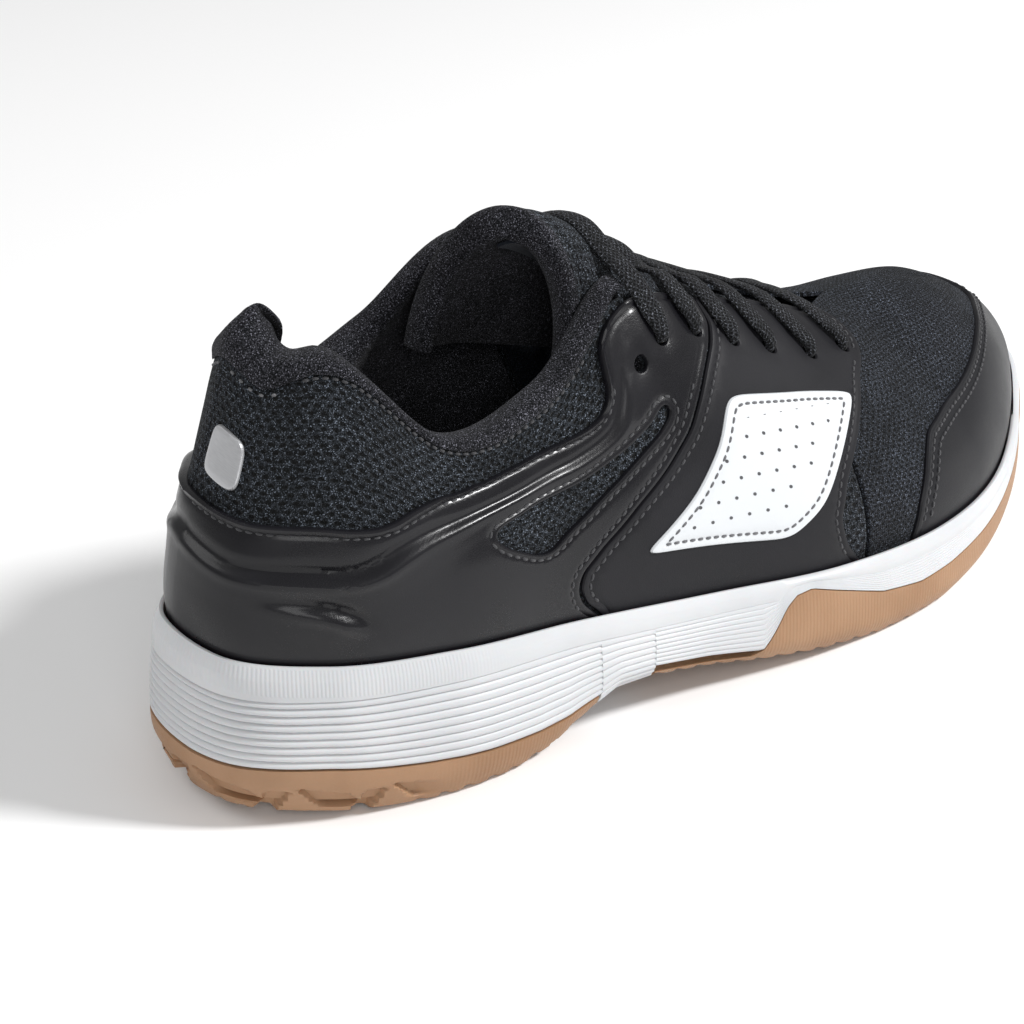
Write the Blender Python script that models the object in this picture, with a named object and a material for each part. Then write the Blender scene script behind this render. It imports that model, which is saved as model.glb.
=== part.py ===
"""Court shoe, right foot, outer side towards -Y.  Lengths below are millimetres.

+X runs from heel to toe, +Y to the inner side of the foot, +Z up from the floor.
The upper is one master surface (a cubic meridian from the feather line up to the
top line, for the outer and the inner side); every textile, overlay, stiffener and
lining is a panel of that surface at its own depth, so the layers nest with a gap.
"""
import bpy
import numpy as np
from mathutils import Vector
from mathutils.geometry import delaunay_2d_cdt

for old in list(bpy.data.objects):
    bpy.data.objects.remove(old)
shoe = bpy.data.collections.new("court_shoe")
bpy.context.scene.collection.children.link(shoe)

ORIGIN = np.array([.2, -2.5, 0])          # middle of the shoe's box on the floor
TONGUE_PIVOT = np.array([66, .5, 62])     # the tongue's sewn base
SOCK_PIVOT = np.array([134, 5.5, 26])     # toe end of the removable sockliner

# colour, roughness and metallic value of each finish
FINISH = {"black_textile": ((.018, .018, .02), .85, 0), "black_synthetic": ((.02, .02, .022), .42, 0),
          "lining_textile": ((.03, .03, .032), .9, 0), "foam": ((.1, .1, .1), .9, 0),
          "white_foam": ((.86, .86, .86), .5, 0), "gum_rubber": ((.5, .3, .17), .55, 0),
          "board": ((.75, .72, .66), .8, 0), "white_film": ((.9, .9, .9), .4, 0),
          "silver_film": ((.6, .6, .62), .35, .4), "lace_braid": ((.02, .02, .022), .8, 0)}


def finish_of(name):
    words = (("outsole", "gum_rubber"), ("midsole", "white_foam"), ("board", "board"),
             ("patch", "white_film"), ("badge", "silver_film"), ("lace", "lace_braid"), ("foam", "foam"), ("counter", "board"),
             ("puff", "board"), ("lining", "lining_textile"), ("sockliner", "lining_textile"),
             ("overlay", "black_synthetic"), ("panel", "black_synthetic"), ("backer", "black_textile"))
    for word, finish in words:
        if word in name:
            return finish
    return "black_textile"


def material(name):
    mat = bpy.data.materials.new(name)
    mat.use_nodes = True
    colour, rough, metal = FINISH[finish_of(name)]
    shader = mat.node_tree.nodes["Principled BSDF"]
    shader.inputs["Base Color"].default_value = colour + (1,)
    shader.inputs["Roughness"].default_value = rough
    shader.inputs["Metallic"].default_value = metal
    return mat


def pivot(name, place):
    empty = bpy.data.objects.new(name, None)
    empty.location = tuple((place - ORIGIN) / 1000)
    shoe.objects.link(empty)
    return empty


PIVOTS = {"tongue": (pivot("tongue_hinge", TONGUE_PIVOT), TONGUE_PIVOT),
          "sockliner": (pivot("sockliner_hinge", SOCK_PIVOT), SOCK_PIVOT)}

# ------------------------------------------------------------------ shape ---
# stations run 0 at the heel centre to 1 at the toe tip, on each side
STATION = (0, .06, .13, .22, .34, .46, .58, .70, .76, .82, .92, 1)
HEEL = (-140, 4, 45, -126, 0, 112, 22, 2, 3, 0, -20)
TOE = (141.5, 6, 30, 100, 2.5, 64.5, 11, 1.1, 16.5, 3, -3)
# feather x y z | top x y z | rise and flare of the lower handle | upper handle
OUTER = (HEEL,
         (-138, -15.5, 43, -122, -9.5, 107, 22, 3.5, 0, -4, -18),
         (-120.5, -29.5, 40.5, -108, -20, 106, 22, 4.5, -1.5, -6, -18),
         (-92.5, -38, 38, -86, -27, 84, 20, 4.2, 0, -6, -14),
         (-56, -40, 33.5, -56.5, -27, 86, 22, 3.2, 0, -7, -16),
         (-16.5, -44, 28.5, -27, -19.5, 103, 24, 3.1, 4, -13, -18),
         (22.5, -49, 24.5, 8, -13, 91, 24, 3.1, 6, -16, -10),
         (61, -47.5, 22.5, 49, -5, 73.5, 20, 3.1, 4.5, -20, -3),
         (79.5, -42.5, 22.2, 63, .5, 71, 19, 3, 4.5, -20, -2),
         (96.5, -34.5, 22.5, 77, .5, 70, 18, 2.9, 5, -20, -1.5),
         (124, -14, 26.5, 92, 1.5, 67.5, 15, 2.4, 12, -12.5, -2),
         TOE)
INNER = (HEEL,
         (-128.5, 17, 43.5, -121.5, 9.5, 106.5, 22, 3.2, 0, 1.5, -18),
         (-114.5, 26.5, 42, -113, 19.5, 97, 22, 4.3, -1, 6, -16),
         (-91, 30.5, 40, -94.5, 27.5, 83, 20, 4, 0, 7, -13),
         (-55, 30, 35.5, -68, 28.5, 90, 22, 3.2, -1, 9, -14),
         (-15.5, 31, 31, -41, 22, 108, 24, 3.2, 3, 15, -16),
         (25, 38, 27.5, -1.5, 14.5, 92.5, 24, 3.1, 5.5, 17, -9.5),
         (67, 44.5, 25.5, 46, 5, 73.5, 20, 3.1, 4, 20, -3.5),
         (88.5, 44.5, 25.3, 63, .5, 71, 19, 3, 4.2, 20.5, -2),
         (107, 39.5, 26, 77, .5, 70, 18, 2.9, 4.5, 21, -1.5),
         (136, 21.5, 29.5, 92, 1.5, 67.5, 15.4, 2.5, 12, 17, -1),
         TOE)
CLOSED = .76          # from here on the two sides meet along the ridge
# outsole edge height and the height of the rubber line above the floor
EDGE = ((0, 7), (.06, 4.5), (.13, 1.5), (.2, 0), (.27, 0), (.31, 2), (.34, 6.5),
        (.37, 11), (.40, 11), (.45, 8.5), (.5, 5), (.56, 2), (.62, 0), (.70, 0),
        (.76, 2), (.82, 5), (.92, 11), (1, 15))
RUBBER = ((0, 19.5), (.04, 17.3), (.085, 16.2), (.13, 14.8), (.195, 12), (.245, 10.4),
          (.29, 9.6), (.32, 10), (.352, 12.4), (.40, 13.2), (.45, 10.8), (.49, 8.2),
          (.50, 9.5), (.51, 14), (.52, 19), (.53, 21.5), (.545, 22), (.58, 18),
  (.617, 13.8), (.66, 11.6), (.70, 12), (.76, 13.5), (.82, 15.5), (.92, 20.5),
          (1, 26.5))
FLARE = ((0, 6.5), (.13, 5.8), (.22, 6.5), (.34, 5.4), (.5, 5.6), (.7, 5.4), (.82, 4.7),
         (.92, 4.7), (1, 6.4))


def table(side):
    """One side's rows, carried a station past the heel and the toe on the other side."""
    own, other = (OUTER, INNER) if side < 0 else (INNER, OUTER)
    return np.array((other[1],) + own + (other[-2],), float)


KNOTS = (-STATION[1],) + STATION + (2 - STATION[-2],)


def spline(knots, values, t):
    """Smooth curve through the values (Catmull-Rom on uneven knots)."""
    k = np.asarray(knots, float)
    v = np.asarray(values, float)
    t = np.clip(np.asarray(t, float), k[0], k[-1])
    d = np.diff(k)
    s = np.diff(v, axis=0) / d.reshape((-1,) + (1,) * (v.ndim - 1))
    m = np.empty_like(v)
    m[0], m[-1] = s[0], s[-1]
    w = (d[1:] / (d[:-1] + d[1:])).reshape((-1,) + (1,) * (v.ndim - 1))
    m[1:-1] = w * s[:-1] + (1 - w) * s[1:]
    i = np.clip(np.searchsorted(k, t, side="right") - 1, 0, len(k) - 2)
    h = d[i]
    u = (t - k[i]) / h
    shape = u.shape + (1,) * (v.ndim - 1)
    u, h = u.reshape(shape), h.reshape(shape)
    return ((2 * u ** 3 - 3 * u ** 2 + 1) * v[i] + (u ** 3 - 2 * u ** 2 + u) * h * m[i]
            + (3 * u ** 2 - 2 * u ** 3) * v[i + 1] + (u ** 3 - u ** 2) * h * m[i + 1])


def row(rows, t):
    return np.interp(t, [q[0] for q in rows], [q[1] for q in rows])


def feather(side, t):
    return spline(KNOTS, table(side)[:, :3], t)


def outward(side, t):
    t = np.asarray(t, float)
    d = feather(side, t + .004) - feather(side, t - .004)
    n = np.stack([d[..., 1], -d[..., 0], 0 * d[..., 0]], -1) * (1 if side < 0 else -1)
    return n / np.linalg.norm(n, axis=-1, keepdims=True)


def master(side, t, v):
    """Point of the upper: v 0 at the feather line, 1 at the top line."""
    t, v = np.broadcast_arrays(np.asarray(t, float), np.asarray(v, float))
    q = spline(KNOTS, table(side), t)
    other = spline(KNOTS, table(-side)[:, 3:6], t)
    b, top, rise, flare, h = q[..., :3], q[..., 3:6], q[..., 6:7], q[..., 7:8], q[..., 8:11]
    top = np.where((t >= CLOSED)[..., None], (top + other) / 2, top)
    out = outward(side, t)
    up = np.array([0, 0, 1.])
    p1, p2 = b + out * flare + up * rise, top + h
    w = np.clip(v, 0, 1)[..., None]
    p = (1 - w) ** 3 * b + 3 * (1 - w) ** 2 * w * p1 + 3 * (1 - w) * w * w * p2 + w ** 3 * top
    p = p + np.clip(v - 1, 0, None)[..., None] * -h * 3
    tab = np.clip((.11 - t) / .08, 0, 1) * np.clip((v - .78) / .22, 0, 1.3) ** 2
    p = p + tab[..., None] * (4, 0, -.5)         # the heel tab leans in over the heel
    return p - np.clip(-v, 0, None)[..., None] * up * 30


# coarse facets shared by every panel, so layers stay parallel
TG = np.array([0, .025, .05, .08, .115, .155, .20, .25, .30, .35, .40, .45, .50, .55, .60,
               .65, .70, .76, .80, .84, .88, .92, .96, 1])
VG = np.array([-.12, 0, .14, .3, .48, .66, .84, 1])


def facets():
    pos = {s: master(s, TG[:, None], VG[None, :]) for s in (-1, 1)}
    nor = {}
    for s in (-1, 1):
        gt = np.gradient(pos[s], axis=0)
        gv = np.gradient(pos[s], axis=1)
        n = np.cross(gt, gv) * (1 if s < 0 else -1)
        nor[s] = n / np.linalg.norm(n, axis=-1, keepdims=True)
    nor[-1][-1, -1] = nor[1][-1, -1] = (0, 0, 1)
    for a, b in ((0, 0), (-1, -1)):             # heel centre and toe tip meridians
        n = nor[-1][a] + nor[1][b]
        n = n / np.linalg.norm(n, axis=-1, keepdims=True)
        nor[-1][a] = nor[1][b] = n
    r = TG >= CLOSED                            # the ridge
    n = nor[-1][r, -1] + nor[1][r, -1]
    n = n / np.linalg.norm(n, axis=-1, keepdims=True)
    nor[-1][r, -1] = nor[1][r, -1] = n
    nor[-1][-1, -1] = nor[1][-1, -1] = nor[-1][-2, -1]
    return pos, nor


POS, NOR = facets()


def facet(side, t, v, d):
    """Point at depth d (outwards +) on the shared facets of one side."""
    t, v = float(min(max(t, 0), 1)), float(v)
    i = int(np.clip(np.searchsorted(TG, t, side="right") - 1, 0, len(TG) - 2))
    j = int(np.clip(np.searchsorted(VG, v, side="right") - 1, 0, len(VG) - 2))
    a = (t - TG[i]) / (TG[i + 1] - TG[i])
    b = (v - VG[j]) / (VG[j + 1] - VG[j])
    q = POS[side] + NOR[side] * d
    p00, p10, p01, p11 = q[i, j], q[i + 1, j], q[i, j + 1], q[i + 1, j + 1]
    if a >= b:
        return p00 + a * (p10 - p00) + b * (p11 - p10)
    return p00 + b * (p01 - p00) + a * (p11 - p01)


# -------------------------------------------------------------- mesh tools ---
def add(name, verts, faces):
    """One closed body from millimetre points; faces are turned outwards."""
    empty, base = PIVOTS.get(name.split("_")[0], (None, ORIGIN))
    co = np.array(verts, float) - base
    me = bpy.data.meshes.new(name)
    me.from_pydata([tuple(p) for p in co / 1000], [], faces)
    volume = sum(np.dot(co[f[0]], np.cross(co[f[k]], co[f[k + 1]]))
                 for f in faces for k in range(1, len(f) - 1))
    if volume < 0:
        me.flip_normals()
    me.materials.append(material(name))
    ob = bpy.data.objects.new(name, me)
    ob.parent = empty
    shoe.objects.link(ob)
    return ob


def rounded(points, radius=.0, steps=3):
    """Corner-cut outline in pattern millimetres."""
    pts = [np.array(p, float) for p in points]
    out = []
    n = len(pts)
    for i, p in enumerate(pts):
        a, b = pts[i - 1], pts[(i + 1) % n]
        la, lb = np.linalg.norm(a - p), np.linalg.norm(b - p)
        r = min(radius, la * .45, lb * .45)
        if r <= 0:
            out.append(p)
            continue
        s, e = p + (a - p) / la * r, p + (b - p) / lb * r
        for k in range(steps + 1):
            w = k / steps
            out.append((1 - w) ** 2 * s + 2 * w * (1 - w) * p + w * w * e)
    return out


ST, SV = 300.0, 80.0       # pattern millimetres per unit of t and of v


def disc(side, t, v, r, n=8):
    """Round hole of radius r at (t, v), as a pattern outline."""
    e = 1e-3
    a = np.linalg.norm(master(side, t + e, v) - master(side, t - e, v)) / (2 * e)
    b = np.linalg.norm(master(side, t, v + e) - master(side, t, v - e)) / (2 * e)
    w = (np.arange(n) + .5) * 2 * np.pi / n
    return [(t + r * np.cos(q) / a, v + r * np.sin(q) / b) for q in w]


def triangles(outline, holes):
    """Cut an outline (t, v) out of the facet grid, facet edges kept."""
    verts, edges, faces = [], [], []
    for loop in [outline] + holes:
        area = sum(a[0] * b[1] - b[0] * a[1] for a, b in zip(loop, loop[1:] + loop[:1]))
        loop = loop if area > 0 else loop[::-1]
        first = len(verts)
        verts += [Vector((p[0] * ST, p[1] * SV)) for p in loop]
        faces.append([first + k for k in range(len(loop))])
    nt, nv = len(TG), len(VG)
    first = len(verts)
    verts += [Vector((TG[i] * ST, VG[j] * SV)) for i in range(nt) for j in range(nv)]
    at = lambda i, j: first + i * nv + j
    for i in range(nt):
        for j in range(nv):
            if i + 1 < nt:
                edges.append((at(i, j), at(i + 1, j)))
            if j + 1 < nv:
                edges.append((at(i, j), at(i, j + 1)))
            if i + 1 < nt and j + 1 < nv:
                edges.append((at(i, j), at(i + 1, j + 1)))
    co, _, tri, _, _, of = delaunay_2d_cdt(verts, edges, faces, 0, 1e-4)
    keep = [f for f, o in zip(tri, of) if 0 in o and not any(k in o for k in range(1, len(holes) + 1))]
    return [(p[0] / ST, p[1] / SV) for p in co], keep


def panel(name, parts, lo, hi):
    """parts: (side, outline, holes) pieces that meet along shared lines."""
    pts, index, faces = [], {}, []
    for side, outline, holes in parts:
        co, tri = triangles(outline, holes)
        ids = []
        for t, v in co:
            p = facet(side, t, v, 0)
            key = tuple(np.round(p, 2))
            if key not in index:
                index[key] = len(pts)
                pts.append((side, t, v))
            ids.append(index[key])
        for f in tri:
            g = [ids[k] for k in f]
            if len(set(g)) == 3:
                faces.append(g if side < 0 else g[::-1])
    used = sorted({k for f in faces for k in f})
    new = {k: i for i, k in enumerate(used)}
    faces = [[new[k] for k in f] for f in faces]
    n = len(used)
    top = [facet(*pts[k], hi) for k in used]
    low = [facet(*pts[k], lo) for k in used]
    count = {}
    for f in faces:
        for a, b in zip(f, f[1:] + f[:1]):
            count[(a, b)] = count.get((a, b), 0) + 1
    walls = [[b, a, a + n, b + n] for (a, b) in count if (b, a) not in count]
    body = [list(f) for f in faces] + [[k + n for k in f[::-1]] for f in faces] + walls
    return add(name, top + low, body)


def swept(name, rings, closed=False):
    """Skin over equal rings; ends are capped by a fan unless the sweep closes."""
    m, k = len(rings), len(rings[0])
    verts = [p for r in rings for p in r]
    faces = []
    for i in range(m if closed else m - 1):
        for j in range(k):
            a, b = i * k + j, i * k + (j + 1) % k
            c, d = ((i + 1) % m) * k + (j + 1) % k, ((i + 1) % m) * k + j
            faces.append([a, b, c, d])
    if not closed:
        faces += [list(range(k))[::-1], [(m - 1) * k + j for j in range(k)]]
    return add(name, verts, faces)


# -------------------------------------------------------------------- sole ---
def wall(side, t, z, inset=0.0):
    """Point of the sole's side wall at height z."""
    b = feather(side, t)
    zb = row(EDGE, t)
    w = np.clip((b[2] - z) / (b[2] - zb), 0, 1)
    f = row(FLARE, t)
    o = 3.2 + (f - 3.2) * (1 - (1 - min(w / .7, 1)) ** 2) - 3.2 * max(0, (w - .7) / .3) ** 2
    p = b + outward(side, np.float64(t)) * (o - inset)
    p[2] = z
    return p


def plan(side, t, out, z):
    p = feather(side, t) + outward(side, np.float64(t)) * out
    p[2] = z
    return p


def sole_body(name, ts, profile, close_front, close_rear=True):
    """Body between two side profiles: profile(side, t) gives points from the inner
    top edge over the side to the inner bottom edge; caps join left to right."""
    n = len(profile(-1, ts[1]))
    verts, faces, rows = [], [], []
    for i, t in enumerate(ts):
        tip = t in (0, 1)
        left = [len(verts) + k for k in range(n)]
        verts += list(profile(-1, t))
        if tip:
            right = left
        else:
            right = [len(verts) + k for k in range(n)]
            verts += list(profile(1, t))
        rows.append((left, right))
    for (l0, r0), (l1, r1) in zip(rows[:-1], rows[1:]):
        for k in range(n - 1):
            faces.append([l0[k], l0[k + 1], l1[k + 1], l1[k]])
            faces.append([r0[k + 1], r0[k], r1[k], r1[k + 1]])
        for k, flip in ((0, False), (n - 1, True)):
            f = [l0[k], l1[k], r1[k], r0[k]]
            f = [q for i, q in enumerate(f) if q not in f[:i]]
            faces.append(f[::-1] if flip else f)
    for flag, (l, r), flip in ((close_rear, rows[0], True), (close_front, rows[-1], False)):
        if flag and l != r:
            f = l + r[::-1]
            faces.append(f[::-1] if flip else f)
    return add(name, verts, faces)


T_SOLE = [0, .025, .05, .08, .115, .155, .20, .25, .30, .335, .352, .375, .40, .45, .49,
          .505, .525, .55, .60, .65, .70, .76, .80, .84, .88, .92, .96, 1]


def midsole_profile(side, t):
    b = feather(side, t)[2]
    zr, ze = row(RUBBER, t), row(EDGE, t)
    bare = .352 < t < .40
    under = ze if bare else ze + 4.3
    lip = under + .3 if bare else zr + .3
    lip = max(lip, under + .2)
    mid = (b + lip) / 2
    tray = 1.8 if t < .9 else 2.3
    return [plan(side, t, tray, b - 5.5), plan(side, t, tray, b - .2), wall(side, t, b - 1.2),
            wall(side, t, mid), wall(side, t, lip),
            wall(side, t, lip, .4 if bare else 1.8), plan(side, t, -1.5, under)]


def outsole_profile(side, t):
    zr, ze = row(RUBBER, t), row(EDGE, t)
    low = wall(side, t, ze + 1.2)
    return [plan(side, t, -1.8, ze + 3.9), wall(side, t, min(zr - .2, ze + 4), 1.2),
            wall(side, t, zr, 1.2), wall(side, t, zr), wall(side, t, (zr + ze) / 2),
            low, plan(side, t, -1.8, ze)]


sole_body("midsole", T_SOLE, midsole_profile, False, False)
sole_body("outsole_heel", [t for t in T_SOLE if t <= .335] + [.35], outsole_profile, True, False)
sole_body("outsole_forefoot", [.402] + [t for t in T_SOLE if t >= .43], outsole_profile, False, True)


def bed(low, high, inset, crown=0.0):
    def profile(side, t):
        b = feather(side, t)[2]
        return [plan(side, t, -inset - 6, b + high), plan(side, t, -inset, b + high + crown),
                plan(side, t, -inset, b + low), plan(side, t, -inset - 6, b + low)]
    return profile


T_BED = [t for t in T_SOLE if t not in (.335, .375, .505)]
sole_body("strobel_board", T_BED, bed(-5.0, -3.9, 3.0), False, False)
sole_body("sockliner", T_BED, bed(-3.4, .8, 7.0, 1.6), False, False)

# ---------------------------------------------------------------- patterns ---
# lace holes (t, v); the first one of each side stays empty
HOLES = ((.442, .765), (.472, .80), (.513, .80), (.55, .76), (.587, .725), (.627, .70), (.672, .725))
SHIFT = .02          # the inner holes stand a little further towards the toe
SEAM = ((.358, -.12), (.358, 0), (.343, .06), (.338, .125), (.342, .195), (.364, .285), (.40, .38),
        (.432, .445), (.464, .525), (.486, .61), (.502, .675), (.522, .75), (.534, .82), (.538, .93))
TOP_EDGE = ((0, .455), (.05, .467), (.10, .47), (.136, .47), (.154, .487), (.168, .525), (.19, .63),
            (.208, .71), (.24, .785), (.274, .815), (.31, .81), (.344, .785), (.375, .745), (.392, .735),
            (.403, .77), (.406, .85), (.41, .92), (.425, .95), (.455, .955), (.49, .94))
WINDOW = ((.255, .50), (.262, .545), (.304, .585), (.36, .575), (.406, .575), (.434, .595), (.448, .635),
          (.456, .60), (.44, .56), (.404, .52), (.368, .475), (.332, .40), (.312, .335), (.30, .34),
          (.268, .43))
PANEL_FRONT = ((.60, -.12), (.60, 0), (.586, .07), (.582, .16), (.597, .28), (.625, .41),
               (.648, .52), (.664, .60), (.685, .67), (.70, .74), (.705, .83), (.70, .93))
TOE_EDGE = ((.662, -.12), (.662, 0), (.671, .14), (.692, .29), (.708, .365), (.746, .40),
            (.792, .435), (.84, .475), (.884, .52), (.944, .563), (1, .57))
PATCH = ((.395, .2), (.53, .14), (.565, .22), (.60, .37), (.643, .553), (.51, .59), (.485, .46), (.45, .34))


def holes_of(side, pick, r=2.7):
    return [disc(side, t + (SHIFT if side > 0 else 0), v, r) for t, v in pick]


def seam(side, gap):
    k = SHIFT if side > 0 else 0
    return [(t + gap + k * min(max((v - .3) / .4, 0), 1), v) for t, v in SEAM]


QUARTER_END = {-1: .61, 1: .63}
for side, word in ((-1, "lateral"), (1, "medial")):
    end = QUARTER_END[side]
    quarter = [(0, -.12), (end, -.12), (end, .93), (.46, .97), (.40, 1), (0, 1)]
    if side > 0:                                # the heel seam
        quarter = [(.003, q[1]) if q[0] == 0 else q for q in quarter]
    pick = HOLES[:5]
    panel("quarter_mesh_" + word, [(side, quarter, holes_of(side, pick))], -1.2, 0)
    side_panel = seam(side, .0025) + list(PANEL_FRONT[::-1])
    panel("side_panel_" + word, [(side, side_panel, holes_of(side, HOLES[3:]))], .3, 1.3)
    stay = [(.425, .66), (.53, .66), (.60, .62), (.70, .64), (.705, .92), (.45, .92), (.425, .86)]
    panel("eyestay_backer_" + word, [(side, stay, holes_of(side, HOLES))], -2.4, -1.5)
    pts = rounded([(t * ST, v * SV) for t, v in PATCH], 5)
    panel("side_patch_" + word, [(side, [(p[0] / ST, p[1] / SV) for p in pts], [])], 1.6, 2.2)

panel("vamp_mesh", [(s, [(QUARTER_END[s] + .002, -.12), (1, -.12), (1, 1), (CLOSED, 1), (.70, .97),
                         (QUARTER_END[s] + .002, .93)], holes_of(s, HOLES[5:])) for s in (-1, 1)], -1.2, 0)
panel("heel_overlay", [(s, [(0, -.12)] + seam(s, -.0025) + list(TOP_EDGE[::-1]),
                        [list(WINDOW)] + holes_of(s, HOLES[:3])) for s in (-1, 1)], .3, 1.3)
panel("toe_overlay", [(s, [(1, -.12)] + list(TOE_EDGE[::-1]), []) for s in (-1, 1)], .3, 1.3)
panel("heel_counter", [(s, [(0, -.02), (.26, -.02), (.26, .22), (.2, .46), (0, .46)], []) for s in (-1, 1)],
      -2.7, -1.5)
panel("toe_puff", [(s, [(.80, -.02), (1, -.02), (1, .62), (.88, .56), (.80, .36)], []) for s in (-1, 1)],
      -2.7, -1.5)
vamp = [(.47, -.02), (1, -.02), (1, 1), (CLOSED, 1), (.745, .80), (.70, .60), (.47, .60)]
panel("vamp_lining", [(s, vamp, []) for s in (-1, 1)], -4.0, -3.0)
badge = rounded([(t * ST, v * SV) for t, v in ((.010, .53), (.050, .53), (.050, .70), (.010, .70))], 3)
panel("heel_badge", [(-1, [(p[0] / ST, p[1] / SV) for p in badge], [])], .3, 1.1)

# ------------------------------------------------------------------ collar ---
T_COLLAR = [.40, .375, .35, .325, .30, .25, .20, .155, .115, .08, .05, .025]
PAD = ((0, 6.0), (.06, 6.5), (.14, 7), (.26, 7), (.31, 5.5), (.36, 3.5), (.40, 2.4))


def around(profile):
    rings = [profile(-1, t) for t in T_COLLAR] + [profile(-1, 0)]
    return rings + [profile(1, t) for t in T_COLLAR[::-1]]


def deep(side, t, v, d):
    """Like facet(), carried on above the top line."""
    if v <= 1:
        return facet(side, t, v, d)
    a, b = facet(side, t, 1, d), facet(side, t, .95, d)
    return a + (a - b) * (v - 1) / .05


def foam(side, t):
    c = row(PAD, t)
    return [deep(side, t, v, -1.7 - c * k) for v, k in
            ((.56, .05), (.66, 0), (.84, 0), (.97, 0), (1.02, .12), (1.045, .5), (1.02, .88), (.96, 1),
             (.84, 1), (.66, .95), (.56, .5))]


def lining(side, t):
    c = row(PAD, t)
    pts = [deep(side, t, v, -4.9) for v in (.03, .14, .3, .50)]
    # over the padding: height on the surface and share of the padding's thickness
    for v, k in ((.62, 1.12), (.84, 1.12), (.96, 1.12), (1.045, 1.0), (1.085, .5)):
        pts.append(deep(side, t, v, -2.0 - (c + .4) * k))
    for v, k in ((1.06, -.02), (1.005, -.12)):
        pts.append(deep(side, t, v, -1.65 - (c + .4) * k))
    # and back down on the side that touches the padding
    for v, k in ((1.005, -.02), (1.035, .04)):
        pts.append(deep(side, t, v, -1.8 - (c + .35) * k))
    for v, k in ((1.062, .5), (1.03, .9), (.96, 1.0), (.84, 1.0)):
        pts.append(deep(side, t, v, -1.7 - (c + .35) * k))
    pts += [deep(side, t, .63, -1.7 - (c + .35)), deep(side, t, .51, -3.9), deep(side, t, .3, -3.9),
            deep(side, t, .14, -3.9), deep(side, t, .03, -3.9)]
    return pts


swept("collar_foam", around(foam))
swept("collar_lining", around(lining))

# ------------------------------------------------------------------ tongue ---
# s, x and z of the middle line | s, half width, drop, bend back and skew of the edges
SPINE = ((0, 66, 64), (.2, 44, 71.5), (.4, 18, 83.5), (.6, -5, 96), (.74, -20, 107), (.87, -33, 116),
         (1, -43, 120.5))
SPREAD = ((0, 14, 8, 0, 0), (.2, 18, 14, 0, 0), (.4, 21, 22, 0, 0), (.6, 21, 27, -2, -2),
          (.74, 20, 31, -4, -5), (.87, 19.5, 34, -6, -8), (1, 18.5, 36, -7, -10))


def tongue(s, a, d):
    """s 0 at the sewn base to 1 at the top edge, a -1 outer to 1 inner, depth d."""
    def at(s, a):
        c = spline([q[0] for q in SPINE], [q[1:] for q in SPINE], np.float64(s))
        w = spline([q[0] for q in SPREAD], [q[1:] for q in SPREAD], np.float64(s))
        f = a * np.pi / 2
        return np.array([c[0] + w[2] * (1 - np.cos(f)) + w[3] * np.sin(f), w[0] * np.sin(f) + .5,
                         c[1] - w[1] * (1 - np.cos(f))])
    s0, s1 = max(s - .02, 0), min(s + .02, 1)
    n = np.cross(at(s1, a) - at(s0, a), at(s, a + .02) - at(s, a - .02))
    n /= -np.linalg.norm(n)
    if n[2] < 0 and abs(a) < .5:
        n = -n
    return at(s, a) + n * d


S_T = [0, .1, .2, .3, .4, .5, .6, .68, .76, .84, .92, 1]
A_T = list(np.linspace(-1, 1, 13))


def sheet(name, s_list, a_list, lo, hi):
    n, m = len(s_list), len(a_list)
    verts = [tongue(s, a, d) for d in (hi, lo) for s in s_list for a in a_list]
    at = lambda i, j, k: k * n * m + i * m + j
    faces = []
    for i in range(n - 1):
        for j in range(m - 1):
            faces.append([at(i, j, 0), at(i + 1, j, 0), at(i + 1, j + 1, 0), at(i, j + 1, 0)])
            faces.append([at(i, j, 1), at(i, j + 1, 1), at(i + 1, j + 1, 1), at(i + 1, j, 1)])
    for i in range(n - 1):
        for j, flip in ((0, 0), (m - 1, 1)):
            f = [at(i, j, 0), at(i, j, 1), at(i + 1, j, 1), at(i + 1, j, 0)]
            faces.append(f[::-1] if flip else f)
    for j in range(m - 1):
        for i, flip in ((0, 0), (n - 1, 1)):
            f = [at(i, j, 0), at(i, j + 1, 0), at(i, j + 1, 1), at(i, j, 1)]
            faces.append(f[::-1] if flip else f)
    return add(name, verts, faces)


sheet("tongue_face", S_T, A_T, -1.1, 0)
sheet("tongue_foam", S_T[1:], A_T, -5.0, -1.4)
sheet("tongue_lining", S_T, A_T, -6.3, -5.3)
sheet("tongue_label", [.6, .68, .76, .84, .92], [-.25, 0, .25], -7.1, -6.6)
rim = []
for a in A_T:
    e = tongue(1, a, 0) - tongue(.985, a, 0)
    e = e / np.linalg.norm(e)
    rim.append([tongue(1, a, d) + e * h for d, h in
                ((.5, 1.1), (.7, 2.2), (-.8, 3.4), (-3.2, 3.8), (-5.5, 3.5), (-7.0, 2.4), (-6.8, 1.3))])
swept("tongue_binding", rim)

# -------------------------------------------------------------------- lace ---
CLOUD = np.array([tongue(q, a, 0) for q in np.linspace(.1, 1, 46) for a in np.linspace(-1, 1, 33)])


def over_tongue(x, y):
    near = np.hypot(CLOUD[:, 0] - x, CLOUD[:, 1] - y) < 4
    return CLOUD[near, 2].max() if near.any() else -1e3


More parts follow.
